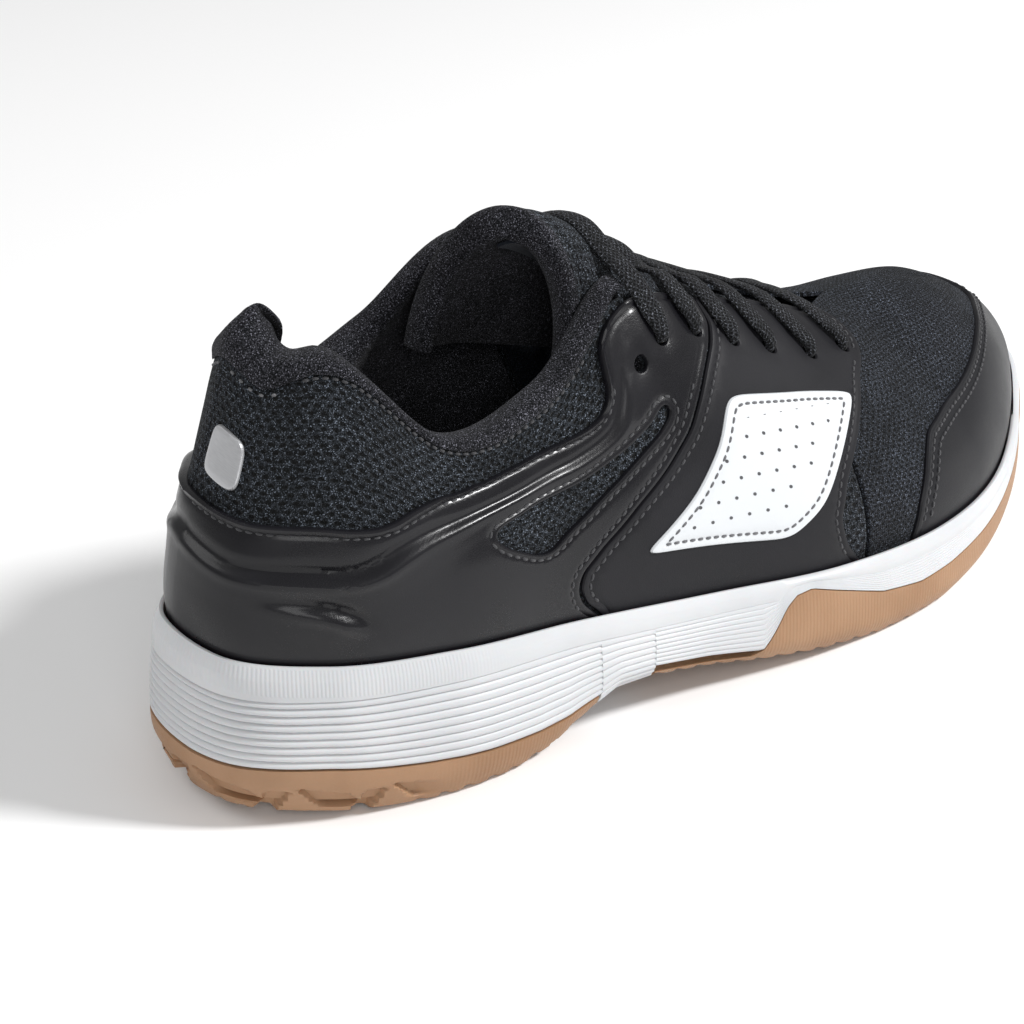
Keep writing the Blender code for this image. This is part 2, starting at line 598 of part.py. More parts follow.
def lace_route():
    """Serpentine: over the throat from one hole to its partner, inside to the next."""
    pts, kind, flat = [], [], []
    rows = HOLES[1:]
    side = -1
    lie = np.array([1., 0, 0])

    def put(p, k):
        pts.append(p)
        kind.append(k)
        flat.append(lie)
    put(facet(side, rows[0][0] - .020, rows[0][1] - .10, -4.0), 2)
    for i, (t, v) in enumerate(rows):
        at = {s: (t + (SHIFT if s > 0 else 0), v) for s in (-1, 1)}
        lie = sum(facet(s, at[s][0] + .03, .95, 0) - facet(s, at[s][0] - .03, .95, 0) for s in (-1, 1))
        lie = lie / np.linalg.norm(lie)
        rise = [(0, -4.0, 2), (0, -1.0, 2), (0, 2.0, 2), (.035, 3.4, 1), (.08, 3.1, 0)]
        rise += [(q, 3.1, 0) for q in (.13, .18) if v + q < .95]
        for q, d, k in rise:
            put(facet(side, at[side][0], v + q, d), k)
        a, b = (facet(s, at[s][0], 1, 3.1) for s in (side, -side))
        for w in (0, .2, .4, .6, .8, 1):
            p = a * (1 - w) + b * w
            bow = 1.8 * (1 - (2 * w - 1) ** 2)
            p[2] = max(p[2] + bow, over_tongue(p[0], p[1]) + 1.9)
            put(p, 0)
        for q, d, k in rise[::-1]:
            put(facet(-side, at[-side][0], v + q, d), k)
        side = -side
        here = at[side]
        if i + 1 < len(rows):
            there = (rows[i + 1][0] + (SHIFT if side > 0 else 0), rows[i + 1][1])
            for w in (.33, .67):
                t, v = np.array(here) * (1 - w) + np.array(there) * w
                put(facet(side, t, v, -4.3), 2)
    put(facet(side, here[0] - .015, here[1] - .09, -4.0), 2)
    return np.array(pts), kind, flat


def tube(name, pts, kind, flat):
    """Flat braid where it shows, rounder where it passes through the holes."""
    rings, n = [], len(pts)
    wide = np.array([1., 0, 0])
    for i in range(n):
        a, b = pts[max(i - 1, 0)], pts[min(i + 1, n - 1)]
        after, before = b - pts[i], pts[i] - a
        d = after / (np.linalg.norm(after) + 1e-9) + before / (np.linalg.norm(before) + 1e-9)
        d = d / np.linalg.norm(d)
        wide = wide - d * np.dot(wide, d)
        wide = wide / np.linalg.norm(wide)
        want = flat[i] - d * np.dot(flat[i], d)
        if np.linalg.norm(want) > .4:
            want = want / np.linalg.norm(want)
            wide = want if np.dot(want, wide) >= 0 else -want
        thick = np.cross(d, wide)
        w, h = ((2.7, 1.0), (2.0, 1.1), (1.35, 1.35))[kind[i]]
        rings.append([pts[i] + wide * w * np.cos(q) + thick * h * np.sin(q)
                      for q in (np.arange(8) + .5) * np.pi / 4])
    return swept(name, rings)


tube("lace", *lace_route())
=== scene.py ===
"""Looks of the court shoe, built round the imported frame.

Shapes are worked out in millimetres, with +X to the toe, +Y to the inner side and
+Z up, and make() turns them into metres in the frame.  The upper is one surface
(t from the heel centre 0 to the toe tip 1 on each side, v from the feather line 0
to the top line 1); every textile and overlay is a panel cut from it.
"""
import bpy
import bmesh
import numpy as np
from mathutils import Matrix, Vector
from mathutils.geometry import delaunay_2d_cdt
from mathutils.kdtree import KDTree


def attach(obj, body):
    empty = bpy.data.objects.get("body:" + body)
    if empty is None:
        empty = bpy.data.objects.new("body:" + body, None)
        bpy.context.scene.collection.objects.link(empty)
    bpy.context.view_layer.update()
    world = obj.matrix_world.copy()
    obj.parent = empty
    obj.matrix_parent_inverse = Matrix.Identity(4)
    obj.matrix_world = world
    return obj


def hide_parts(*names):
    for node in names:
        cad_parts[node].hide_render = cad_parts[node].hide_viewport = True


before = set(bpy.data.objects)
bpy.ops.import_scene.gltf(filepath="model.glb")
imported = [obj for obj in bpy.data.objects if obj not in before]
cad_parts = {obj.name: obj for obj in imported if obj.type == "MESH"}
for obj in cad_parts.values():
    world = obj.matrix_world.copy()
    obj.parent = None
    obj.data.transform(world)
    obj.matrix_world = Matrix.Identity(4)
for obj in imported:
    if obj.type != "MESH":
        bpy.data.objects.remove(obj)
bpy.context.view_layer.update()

ORIGIN = np.array([.2, -2.5, 0])      # the frame's origin in these millimetres
MM = .001

# ------------------------------------------------------------------ shape ---
STATION = (0, .06, .13, .22, .34, .46, .58, .70, .76, .82, .92, 1)
HEEL = (-140, 4, 45, -126, 0, 112, 22, 2, 3, 0, -20)
TOE = (141.5, 6, 30, 100, 2.5, 64.5, 11, 1.1, 16.5, 3, -3)
# feather x y z | top x y z | rise and flare of the lower handle | upper handle
OUTER = (HEEL,
         (-138, -15.5, 43, -122, -9.5, 107, 22, 3.5, 0, -4, -18),
         (-120.5, -29.5, 40.5, -108, -20, 106, 22, 4.5, -1.5, -6, -18),
         (-92.5, -38, 38, -86, -27, 84, 20, 4.2, 0, -6, -14),
         (-56, -40, 33.5, -56.5, -27, 86, 22, 3.2, 0, -7, -16),
         (-16.5, -44, 28.5, -27, -19.5, 103, 24, 3.1, 4, -13, -18),
         (22.5, -49, 24.5, 8, -13, 91, 24, 3.1, 6, -16, -10),
         (61, -47.5, 22.5, 49, -5, 73.5, 20, 3.1, 4.5, -20, -3),
         (79.5, -42.5, 22.2, 63, .5, 71, 19, 3, 4.5, -20, -2),
         (96.5, -34.5, 22.5, 77, .5, 70, 18, 2.9, 5, -20, -1.5),
         (124, -14, 26.5, 92, 1.5, 67.5, 15, 2.4, 12, -12.5, -2),
         TOE)
INNER = (HEEL,
         (-128.5, 17, 43.5, -121.5, 9.5, 106.5, 22, 3.2, 0, 1.5, -18),
         (-114.5, 26.5, 42, -113, 19.5, 97, 22, 4.3, -1, 6, -16),
         (-91, 30.5, 40, -94.5, 27.5, 83, 20, 4, 0, 7, -13),
         (-55, 30, 35.5, -68, 28.5, 90, 22, 3.2, -1, 9, -14),
         (-15.5, 31, 31, -41, 22, 108, 24, 3.2, 3, 15, -16),
         (25, 38, 27.5, -1.5, 14.5, 92.5, 24, 3.1, 5.5, 17, -9.5),
         (67, 44.5, 25.5, 46, 5, 73.5, 20, 3.1, 4, 20, -3.5),
         (88.5, 44.5, 25.3, 63, .5, 71, 19, 3, 4.2, 20.5, -2),
         (107, 39.5, 26, 77, .5, 70, 18, 2.9, 4.5, 21, -1.5),
         (136, 21.5, 29.5, 92, 1.5, 67.5, 15.4, 2.5, 12, 17, -1),
         TOE)
CLOSED = .76          # from here on the two sides meet along the ridge
# outsole edge height, rubber line height and side flare against t
EDGE = ((0, 7), (.06, 4.5), (.13, 1.5), (.2, 0), (.27, 0), (.31, 2), (.34, 6.5),
        (.37, 11), (.40, 11), (.45, 8.5), (.5, 5), (.56, 2), (.62, 0), (.70, 0),
        (.76, 2), (.82, 5), (.92, 11), (1, 15))
RUBBER = ((0, 19.5), (.04, 17.3), (.085, 16.2), (.13, 14.8), (.195, 12), (.245, 10.4),
          (.29, 9.6), (.32, 10), (.352, 12.4), (.40, 13.2), (.45, 10.8), (.49, 8.2),
          (.50, 9.5), (.51, 14), (.52, 19), (.53, 21.5), (.545, 22), (.58, 18),
          (.617, 13.8), (.66, 11.6), (.70, 12), (.76, 13.5), (.82, 15.5), (.92, 20.5),
          (1, 26.5))
FLARE = ((0, 6.5), (.13, 5.8), (.22, 6.5), (.34, 5.4), (.5, 5.6), (.7, 5.4), (.82, 4.7),
         (.92, 4.7), (1, 6.4))
KNOTS = (-STATION[1],) + STATION + (2 - STATION[-2],)


def table(side):
    """One side's rows, carried a station past the heel and the toe on the other side."""
    own, other = (OUTER, INNER) if side < 0 else (INNER, OUTER)
    return np.array((other[1],) + own + (other[-2],), float)


TABLE = {-1: table(-1), 1: table(1)}


def unit(a):
    return a / np.maximum(np.linalg.norm(a, axis=-1, keepdims=True), 1e-9)


def spline(knots, values, t):
    """Smooth curve through the values (Catmull-Rom on uneven knots)."""
    k = np.asarray(knots, float)
    v = np.asarray(values, float)
    t = np.clip(np.asarray(t, float), k[0], k[-1])
    d = np.diff(k)
    shape = (-1,) + (1,) * (v.ndim - 1)
    s = np.diff(v, axis=0) / d.reshape(shape)
    m = np.empty_like(v)
    m[0], m[-1] = s[0], s[-1]
    w = (d[1:] / (d[:-1] + d[1:])).reshape(shape)
    m[1:-1] = w * s[:-1] + (1 - w) * s[1:]
    i = np.clip(np.searchsorted(k, t, side="right") - 1, 0, len(k) - 2)
    h = d[i]
    u = (t - k[i]) / h
    shape = u.shape + (1,) * (v.ndim - 1)
    u, h = u.reshape(shape), h.reshape(shape)
    return ((2 * u ** 3 - 3 * u ** 2 + 1) * v[i] + (u ** 3 - 2 * u ** 2 + u) * h * m[i]
            + (3 * u ** 2 - 2 * u ** 3) * v[i + 1] + (u ** 3 - u ** 2) * h * m[i + 1])


def row(rows, t):
    return np.interp(t, [q[0] for q in rows], [q[1] for q in rows])


def smooth(x, a, b):
    """0 below a, 1 above b, eased between."""
    w = np.clip((np.asarray(x, float) - a) / (b - a), 0, 1)
    return w * w * (3 - 2 * w)


def hump(x, centre, width):
    return np.exp(-((x - centre) / width) ** 2)


def fine(a, b, count):
    return a + (b - a) * np.arange(count + 1) / count


def lengths(points):
    """Length along a line of points, 0 at the first."""
    return np.concatenate([[0], np.cumsum(np.linalg.norm(np.diff(points, axis=0), axis=1))])


def between(at, s, values):
    """Rows of values at the lengths at, straight from one to the next."""
    return np.stack([np.interp(at, s, values[:, k]) for k in range(values.shape[1])], -1)


def feather(side, t):
    return spline(KNOTS, TABLE[side][:, :3], t)


def outward(side, t):
    t = np.asarray(t, float)
    d = feather(side, t + .004) - feather(side, t - .004)
    return unit(np.stack([d[..., 1], -d[..., 0], 0 * d[..., 0]], -1) * -side)


def master(side, t, v):
    """Point of the upper: v 0 at the feather line, 1 at the top line."""
    t, v = np.broadcast_arrays(np.asarray(t, float), np.asarray(v, float))
    q = spline(KNOTS, TABLE[side], t)
    other = spline(KNOTS, TABLE[-side][:, 3:6], t)
    b, top, rise, flare, h = q[..., :3], q[..., 3:6], q[..., 6:7], q[..., 7:8], q[..., 8:11]
    top = np.where((t >= CLOSED)[..., None], (top + other) / 2, top)
    up = np.array([0, 0, 1.])
    p1, p2 = b + outward(side, t) * flare + up * rise, top + h
    w = np.clip(v, 0, 1)[..., None]
    p = (1 - w) ** 3 * b + 3 * (1 - w) ** 2 * w * p1 + 3 * (1 - w) * w * w * p2 + w ** 3 * top
    p = p + np.clip(v - 1, 0, None)[..., None] * -h * 3
    tab = np.clip((.11 - t) / .08, 0, 1) * np.clip((v - .78) / .22, 0, 1.3) ** 2
    p = p + tab[..., None] * (4, 0, -.5)         # the heel tab leans in over the heel
    return p - np.clip(-v, 0, None)[..., None] * up * 30


def slope(side, t, v):
    """Unit normal of one side, taken just below the top line."""
    e = 2e-3
    v = np.minimum(v, .985)
    gt = master(side, t + e, v) - master(side, t - e, v)
    gv = master(side, t, v + e) - master(side, t, v - e)
    return unit(np.cross(gt, gv) * -side)


def joined(t, v):
    """Where the outer and the inner side share a line: heel, toe and ridge."""
    return (t < 1e-5) | (t > 1 - 1e-5) | ((v > 1 - 1e-5) & (t >= CLOSED - 1e-5))


def normal(side, t, v):
    t, v = np.broadcast_arrays(np.asarray(t, float), np.asarray(v, float))
    own, other = slope(side, t, v), slope(-side, t, v)
    return np.where(joined(t, v)[..., None], unit(own + other), own)


def skin(side, t, v, d=0.0):
    """Point d outside the upper's surface."""
    d = np.asarray(d, float)[..., None]
    return master(side, t, v) + normal(side, t, v) * d


# -------------------------------------------------------------- materials ---
class Graph:
    """One node material with a few short helpers; pattern coordinates are in mm."""

    def __init__(self, name, **sockets):
        self.mat = bpy.data.materials.new(name)
        self.mat.use_nodes = True
        self.tree = self.mat.node_tree
        self.shader = self.tree.nodes["Principled BSDF"]
        for key, value in sockets.items():
            self.shader.inputs[key.replace("_", " ")].default_value = value
        self.source = {}

    def node(self, kind, links=(), **props):
        n = self.tree.nodes.new("ShaderNode" + kind)
        for key, value in props.items():
            setattr(n, key, value)
        for socket, value in links:
            self.put(n.inputs[socket], value)
        return n

    def put(self, socket, value):
        if isinstance(value, bpy.types.NodeSocket):
            self.tree.links.new(value, socket)
        else:
            socket.default_value = value

    def math(self, op, a, b=0.0):
        return self.node("Math", ((0, a), (1, b)), operation=op).outputs[0]

    def times(self, a, b):
        return self.math("MULTIPLY", a, b)

    def plus(self, a, b):
        return self.math("ADD", a, b)

    def minus(self, a, b):
        return self.math("SUBTRACT", a, b)

    def size(self, a):
        return self.math("ABSOLUTE", a)

    def grey(self, value):
        return self.node("CombineColor", ((0, value), (1, value), (2, value))).outputs[0]

    def pattern(self):
        """The panel's own coordinates, millimetres along and up."""
        if "uv" not in self.source:
            uv = self.node("UVMap", uv_map="pattern")
            n = self.node("SeparateXYZ", ((0, uv.outputs[0]),))
            self.source["uv"] = uv.outputs[0], n.outputs[0], n.outputs[1]
        return self.source["uv"]

    def place(self):
        """Place in the frame, in millimetres."""
        if "obj" not in self.source:
            tex = self.node("TexCoord")
            n = self.node("VectorMath", ((0, tex.outputs["Object"]), (3, 1 / MM)), operation="SCALE")
            self.source["obj"] = n.outputs[0]
        return self.source["obj"]

    def noise(self, size, detail=2.0, where=None, rough=.5):
        """Noise with features about size mm across."""
        at = self.place() if where is None else where
        n = self.node("TexNoise", (("Vector", at), ("Scale", 1.0 / size), ("Detail", detail),
                                   ("Roughness", rough)))
        return n.outputs["Fac"]

    def span(self, value, lo, hi, a=0.0, b=1.0):
        n = self.node("MapRange", ((0, value), (1, lo), (2, hi), (3, a), (4, b)),
                      interpolation_type="SMOOTHSTEP")
        return n.outputs[0]

    def mix(self, factor, a, b, blend="MIX"):
        n = self.node("Mix", data_type="RGBA", blend_type=blend)
        self.put(n.inputs[0], factor)
        for index, value in ((6, a), (7, b)):
            linked = isinstance(value, bpy.types.NodeSocket)
            self.put(n.inputs[index], value if linked else tuple(value) + (1,))
        return n.outputs[2]

    def cells(self, wide, high, stagger=.5):
        """Distance from the middle of the nearest cell of a staggered grid, in cells."""
        _, u, v = self.pattern()
        r = self.math("DIVIDE", v, high)
        odd = self.math("FLOORED_MODULO", self.math("FLOOR", r), 2.0)
        c = self.plus(self.math("DIVIDE", u, wide), self.times(odd, stagger))
        fu = self.minus(self.math("FRACT", c), .5)
        fv = self.minus(self.math("FRACT", r), .5)
        square = self.plus(self.times(fu, fu), self.times(fv, fv))
        return self.math("SQRT", square)

    def wave(self, value, pitch):
        """0 to 1 sine of a coordinate, one period per pitch."""
        turn = self.times(value, 2 * np.pi / pitch)
        return self.plus(self.times(self.math("SINE", turn), .5), .5)

    def finish(self, colour=None, rough=None, height=None, depth=.2):
        """Wire the results; depth is the height of the bump in mm."""
        if colour is not None:
            self.put(self.shader.inputs["Base Color"], colour)
        if rough is not None:
            self.put(self.shader.inputs["Roughness"], rough)
        if height is not None:
            bump = self.node("Bump", (("Strength", 1.0), ("Distance", depth * MM), ("Height", height)))
            self.put(self.shader.inputs["Normal"], bump.outputs[0])
        return self.mat


SPARK = 4.5            # how much brighter the rare bright flecks are


def heather(g, dark, light, size=.45):
    """Salt and pepper yarn, with slow drifts in tone."""
    fleck = g.span(g.noise(size, 1.0, rough=.7), .42, .68)
    drift = g.span(g.noise(14, 2.0), .3, .7, .75, 1.15)
    colour = g.mix(fleck, dark, light)
    spark = g.span(g.noise(.3, 0.0), .66, .74)
    colour = g.mix(spark, colour, [c * SPARK for c in light])
    return g.mix(1.0, colour, g.grey(drift), "MULTIPLY"), fleck


def knit(name, wide, high, hole, dark, light, rib, depth=.45):
    """Warp knit with rows of holes between looped yarns."""
    g = Graph(name, Roughness=.9, Sheen_Weight=.04, Sheen_Roughness=.6, Specular_IOR_Level=.12)
    colour, fleck = heather(g, dark, light)
    _, u, v = g.pattern()
    cell = g.cells(wide, high)
    open_ = g.span(cell, hole * .55, hole * 1.15)
    loops = g.times(g.wave(u, wide / 3), g.wave(v, rib))
    # The holes are painted dark: partly the dark layer seen through them, partly painted shade inside them.
    tone = g.span(open_, 0, 1, .1, 1)
    colour = g.mix(1.0, colour, g.grey(tone), "MULTIPLY")
    height = g.plus(g.plus(open_, g.times(loops, .35)), g.times(fleck, .25))
    return g.finish(colour, height=height, depth=depth)


def jersey(name, dark, light, rough=.92, pitch=.9):
    """Fine heathered lining knit."""
    g = Graph(name, Roughness=rough, Sheen_Weight=.06, Sheen_Roughness=.5, Specular_IOR_Level=.1)
    colour, fleck = heather(g, dark, light, .4)
    _, u, v = g.pattern()
    loops = g.times(g.wave(g.plus(u, v), pitch), g.wave(g.minus(u, v), pitch))
    height = g.plus(g.times(loops, .7), g.times(fleck, .5))
    return g.finish(colour, height=height, depth=.2)


def synthetic(name, base, rough, coat):
    """Coated microfibre: satin film with a fine grain, and a painted highlight that lightens its high
    spots.
    """
    g = Graph(name, Specular_IOR_Level=.2, Coat_Weight=coat, Coat_Roughness=.16)
    grain = g.noise(.35, 3.0, rough=.6)
    cloud = g.noise(22, 3.0)
    colour = g.mix(g.span(cloud, .3, .7), [c * .86 for c in base], [c * 1.15 for c in base])
    # Painted highlight: convex high spots (high pointiness) are lightened towards a brighter copy of the
    # base colour.
    high_spot_highlight = g.node("NewGeometry").outputs["Pointiness"]
    colour = g.mix(g.span(high_spot_highlight, .52, .60, 0, .35), colour, [c * 2.2 for c in base])
    roughness = g.span(g.plus(g.times(grain, .35), g.times(cloud, .65)),
                       .3, .7, rough - .06, rough + .08)
    return g.finish(colour, roughness, grain, depth=.05)


def foam_white():
    """Moulded sole foam with a faint skin texture and fine upright ribs on the heel band."""
    g = Graph("midsole_foam", Roughness=.45, Specular_IOR_Level=.45, Subsurface_Weight=.08,
              Subsurface_Scale=.004)
    _, u, v = g.pattern()
    skin_ = g.noise(.5, 3.0)
    band = g.times(g.span(v, .3, .6), g.span(v, 6.4, 7.0, 1, 0))
    band = g.times(band, g.span(g.size(u), 60, 95, 1, 0))
    ribs = g.times(g.times(g.wave(u, .9), band), .45)
    height = g.plus(ribs, g.times(skin_, .22))
    dust = g.span(g.noise(30, 3.0), .3, .75)
    colour = g.mix(dust, (.545, .555, .57), (.61, .617, .63))
    return g.finish(colour, height=height, depth=.12)


def gum():
    """Gum rubber: warm tan with painted shade in the recesses, and fine upright ribs on the side wall."""
    g = Graph("gum_rubber", Specular_IOR_Level=.4, Subsurface_Weight=.06, Subsurface_Scale=.003)
    _, u, v = g.pattern()
    speck = g.noise(.6, 3.0)
    cloud = g.noise(26, 3.0)
    colour = g.mix(g.span(cloud, .3, .7), (.30, .165, .085), (.37, .215, .12))
    # Painted shade: hollows (low pointiness) are darkened towards a deep brown.
    low = g.span(g.node("NewGeometry").outputs["Pointiness"], .40, .5, .45, 0)
    colour = g.mix(low, colour, (.20, .10, .05))
    side = g.times(g.span(v, .5, 1.0), g.span(g.size(u), 62, 80))
    ribs = g.times(g.times(g.wave(u, 1.05), side), .4)
    height = g.plus(ribs, g.times(speck, .35))
    return g.finish(colour, g.span(speck, .3, .7, .48, .6), height, depth=.14)


DOT_FIELD_SLANT = 1.09            # the dotted field leans forward this much for each mm up
DOT_FIELD_MIDDLE = (123.5, 30)    # its middle in pattern mm, along and up
DOT_FIELD_HALF = (15.5, 11.5)     # half its length and height
DOT_CELL = (5.2, 4.4)             # spacing of the dots along and up


def patch_film():
    """White saddle film with a field of small punched dots and a soft grain."""
    g = Graph("saddle_film", Roughness=.42, Specular_IOR_Level=.5, Coat_Weight=.1, Coat_Roughness=.3)
    _, u, v = g.pattern()
    slanted = g.minus(g.size(u), g.times(v, DOT_FIELD_SLANT))
    off = [g.size(g.minus(a, middle)) for a, middle in zip((slanted, v), DOT_FIELD_MIDDLE)]
    out = g.math("MAXIMUM", *(g.span(a, half, half + .1) for a, half in zip(off, DOT_FIELD_HALF)))
    dots = g.math("MAXIMUM", g.span(g.cells(*DOT_CELL), .075, .105), out)
    grain = g.noise(.4, 3.0)
    colour = g.mix(dots, (.07, .07, .075), (.64, .66, .68))
    return g.finish(colour, height=g.plus(dots, g.times(grain, .06)), depth=.3)


def braid(name, dark, light):
    """Flat braided polyester lace: two sets of slanted strands with flecks."""
    g = Graph(name, Roughness=.82, Sheen_Weight=.05, Specular_IOR_Level=.15)
    colour, fleck = heather(g, dark, light, .4)
    _, u, v = g.pattern()
    a = g.wave(g.plus(u, v), 1.5)
    b = g.wave(g.minus(u, v), 1.5)
    weave = g.math("MAXIMUM", a, b)
    # Painted shade: the gaps between the strands are darkened.
    colour = g.mix(g.span(weave, .5, .95), [c * .35 for c in dark], colour)
    height = g.plus(weave, g.times(fleck, .3))
    return g.finish(colour, height=height, depth=.28)


def satin_label():
    g = Graph("label_satin", Roughness=.5, Sheen_Weight=.15, Specular_IOR_Level=.35)
    _, u, v = g.pattern()
    rib = g.times(g.wave(u, .5), g.wave(v, .5))
    colour = g.mix(g.span(g.noise(9, 2.0), .3, .7), (.0035, .0055, .011), (.006, .009, .017))
    return g.finish(colour, height=rib, depth=.08)


def brushed_silver():
    g = Graph("silver_film", Metallic=.55, Specular_IOR_Level=.5)
    _, u, v = g.pattern()
    stretch = g.node("CombineXYZ", ((0, g.times(u, .12)), (1, v))).outputs[0]
    streak = g.noise(.3, 2.0, stretch)
    colour = g.mix(streak, (.46, .465, .48), (.62, .625, .64))
    return g.finish(colour, g.span(streak, .3, .7, .28, .42), streak, depth=.02)


def fibre_board(name, base):
    g = Graph(name, Roughness=.85)
    fibre = g.noise(.8, 3.0)
    return g.finish(g.mix(fibre, [c * .8 for c in base], base), height=fibre, depth=.15)


def open_foam():
    g = Graph("padding_foam", Roughness=.95)
    n = g.node("TexVoronoi", (("Vector", g.place()), ("Scale", 1.6)))
    # Painted shade: the foam cells are darker in their pits.
    return g.finish(g.mix(n.outputs[0], (.03, .03, .033), (.07, .07, .075)), height=n.outputs[0], depth=.3)


def yarn(name, colour):
    g = Graph(name, Roughness=.6, Sheen_Weight=.2, Specular_IOR_Level=.35)
    _, u, v = g.pattern()
    twist = g.wave(g.plus(u, v), .35)
    # Painted shade: the thread is darker in its twist grooves.
    tint = g.mix(twist, [c * .7 for c in colour], colour)
    return g.finish(tint, height=twist, depth=.06)


MAT = {
    "knit": knit("quarter_knit", 3.1, 2.1, .30, (.003, .004, .0052), (.032, .037, .045), .75),
    "vamp": knit("vamp_knit", 2.0, 1.45, .27, (.0028, .0036, .0052), (.026, .030, .038), .72, .35),
    "tongue": knit("tongue_knit", 2.3, 2.1, .24, (.003, .0038, .005), (.036, .041, .049), .7, .4),
    "lining": jersey("lining_jersey", (.0026, .003, .004), (.036, .036, .043)),
    "sock": jersey("sockliner_cloth", (.0015, .0025, .0048), (.006, .009, .015), pitch=1.6),
    "overlay": synthetic("coated_microfibre", (.0075, .0073, .0092), .30, .26),
    "panel": synthetic("matt_microfibre", (.010, .0098, .012), .46, .05),
    "toe": synthetic("toe_microfibre", (.0075, .0075, .0095), .45, .06),
    "foam_white": foam_white(),
    "gum": gum(),
    "patch": patch_film(),
    "silver": brushed_silver(),
    "lace": braid("lace_braid", (.0022, .0026, .0034), (.036, .038, .044)),
    "label": satin_label(),
    "board": fibre_board("fibre_board", (.62, .58, .50)),
    "foam": open_foam(),
    "thread": yarn("black_thread", (.045, .045, .05)),
    "thread_grey": yarn("grey_thread", (.16, .16, .17)),
}

# ------------------------------------------------------------ mesh making ---
def make(name, co, faces, mat, stands_for=(), body="shoe", uv=None, weld=0.0, sharp=35):
    """One piece from millimetre points; uv holds a pattern point for every corner."""
    me = bpy.data.meshes.new(name)
    co = (np.asarray(co, float) - ORIGIN) * MM
    me.from_pydata(co.tolist(), [], faces)
    layer = me.uv_layers.new(name="pattern")
    if uv is not None:
        layer.data.foreach_set("uv", np.asarray(uv, float).ravel())
    bm = bmesh.new()
    bm.from_mesh(me)
    if weld:
        bmesh.ops.remove_doubles(bm, verts=bm.verts, dist=weld * MM)
    bmesh.ops.recalc_face_normals(bm, faces=bm.faces)
    bm.to_mesh(me)
    bm.free()
    me.polygons.foreach_set("use_smooth", [True] * len(me.polygons))
    me.set_sharp_from_angle(angle=np.radians(sharp))
    me.materials.append(MAT[mat])
    ob = bpy.data.objects.new(name, me)
    bpy.context.scene.collection.objects.link(ob)
    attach(ob, body)
    if stands_for:
        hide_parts(*stands_for)
    return ob


def corners(faces, uv):
    """Pattern point of every face corner from one point per vertex."""
    return [uv[k] for f in faces for k in f]


def quads(at, m, n, flip=False):
    """Faces of a sheet of m by n points, where at gives the number of a point."""
    faces = [[at(i, k), at(i, k + 1), at(i + 1, k + 1), at(i + 1, k)]
             for i in range(m - 1) for k in range(n - 1)]
    return [f[::-1] for f in faces] if flip else faces


ST, SV = 300.0, 80.0       # pattern millimetres per unit of t and of v


def resample(loop, step):
    """Closed line with its points about step apart."""
    out = []
    for a, b in zip(loop, np.roll(loop, -1, 0)):
        n = max(1, int(round(np.linalg.norm(b - a) / step)))
        out += [a + (b - a) * k / n for k in range(n)]
    return np.array(out)


def is_join(loop):
    """Which points lie on a line shared with the other side."""
    return joined(loop[:, 0] / ST, loop[:, 1] / SV)


def ccw(loop):
    """The same line, run anticlockwise."""
    x, y = loop[:, 0], loop[:, 1]
    area = np.sum(x * np.roll(y, -1) - np.roll(x, -1) * y)
    return loop if area > 0 else loop[::-1]


def soften(loop, rounds):
    """Round the corners of a fine closed line; joins stay where they are."""
    fixed = is_join(loop)[:, None]
    for _ in range(rounds):
        mid = (np.roll(loop, 1, 0) + 2 * loop + np.roll(loop, -1, 0)) / 4
        loop = np.where(fixed, loop, mid)
    return loop


def inset(loop, distance):
    """The same points moved to the left of their way round."""
    tangent = unit(np.roll(loop, -1, 0) - np.roll(loop, 1, 0))
    return loop + np.stack([-tangent[:, 1], tangent[:, 0]], -1) * distance


def tree_of(points):
    """Search tree of points in the pattern or in space."""
    tree = KDTree(len(points))
    for i, p in enumerate(points):
        tree.insert((*p, 0)[:3], i)
    tree.balance()
    return tree


def gap(tree, points):
    """Distance of each pattern point from the tree's points."""
    return np.array([tree.find((p[0], p[1], 0))[2] for p in points])


RINGS = (.3, .8)                  # rounded edge
EDGE_ROUND = .55                  # how far a panel's face falls to its edge
SEWN_RINGS = (.3, .8, 1.5, 2.2, 2.9)
SEW = 2.2                         # a sewn line's distance from the edge
STEP = 1.1                        # spacing of the points along an edge
FINE_STEP = .3                    # the same, for measuring distances
SEAM_DEPTH = .28                  # a sewn line is pressed in this far


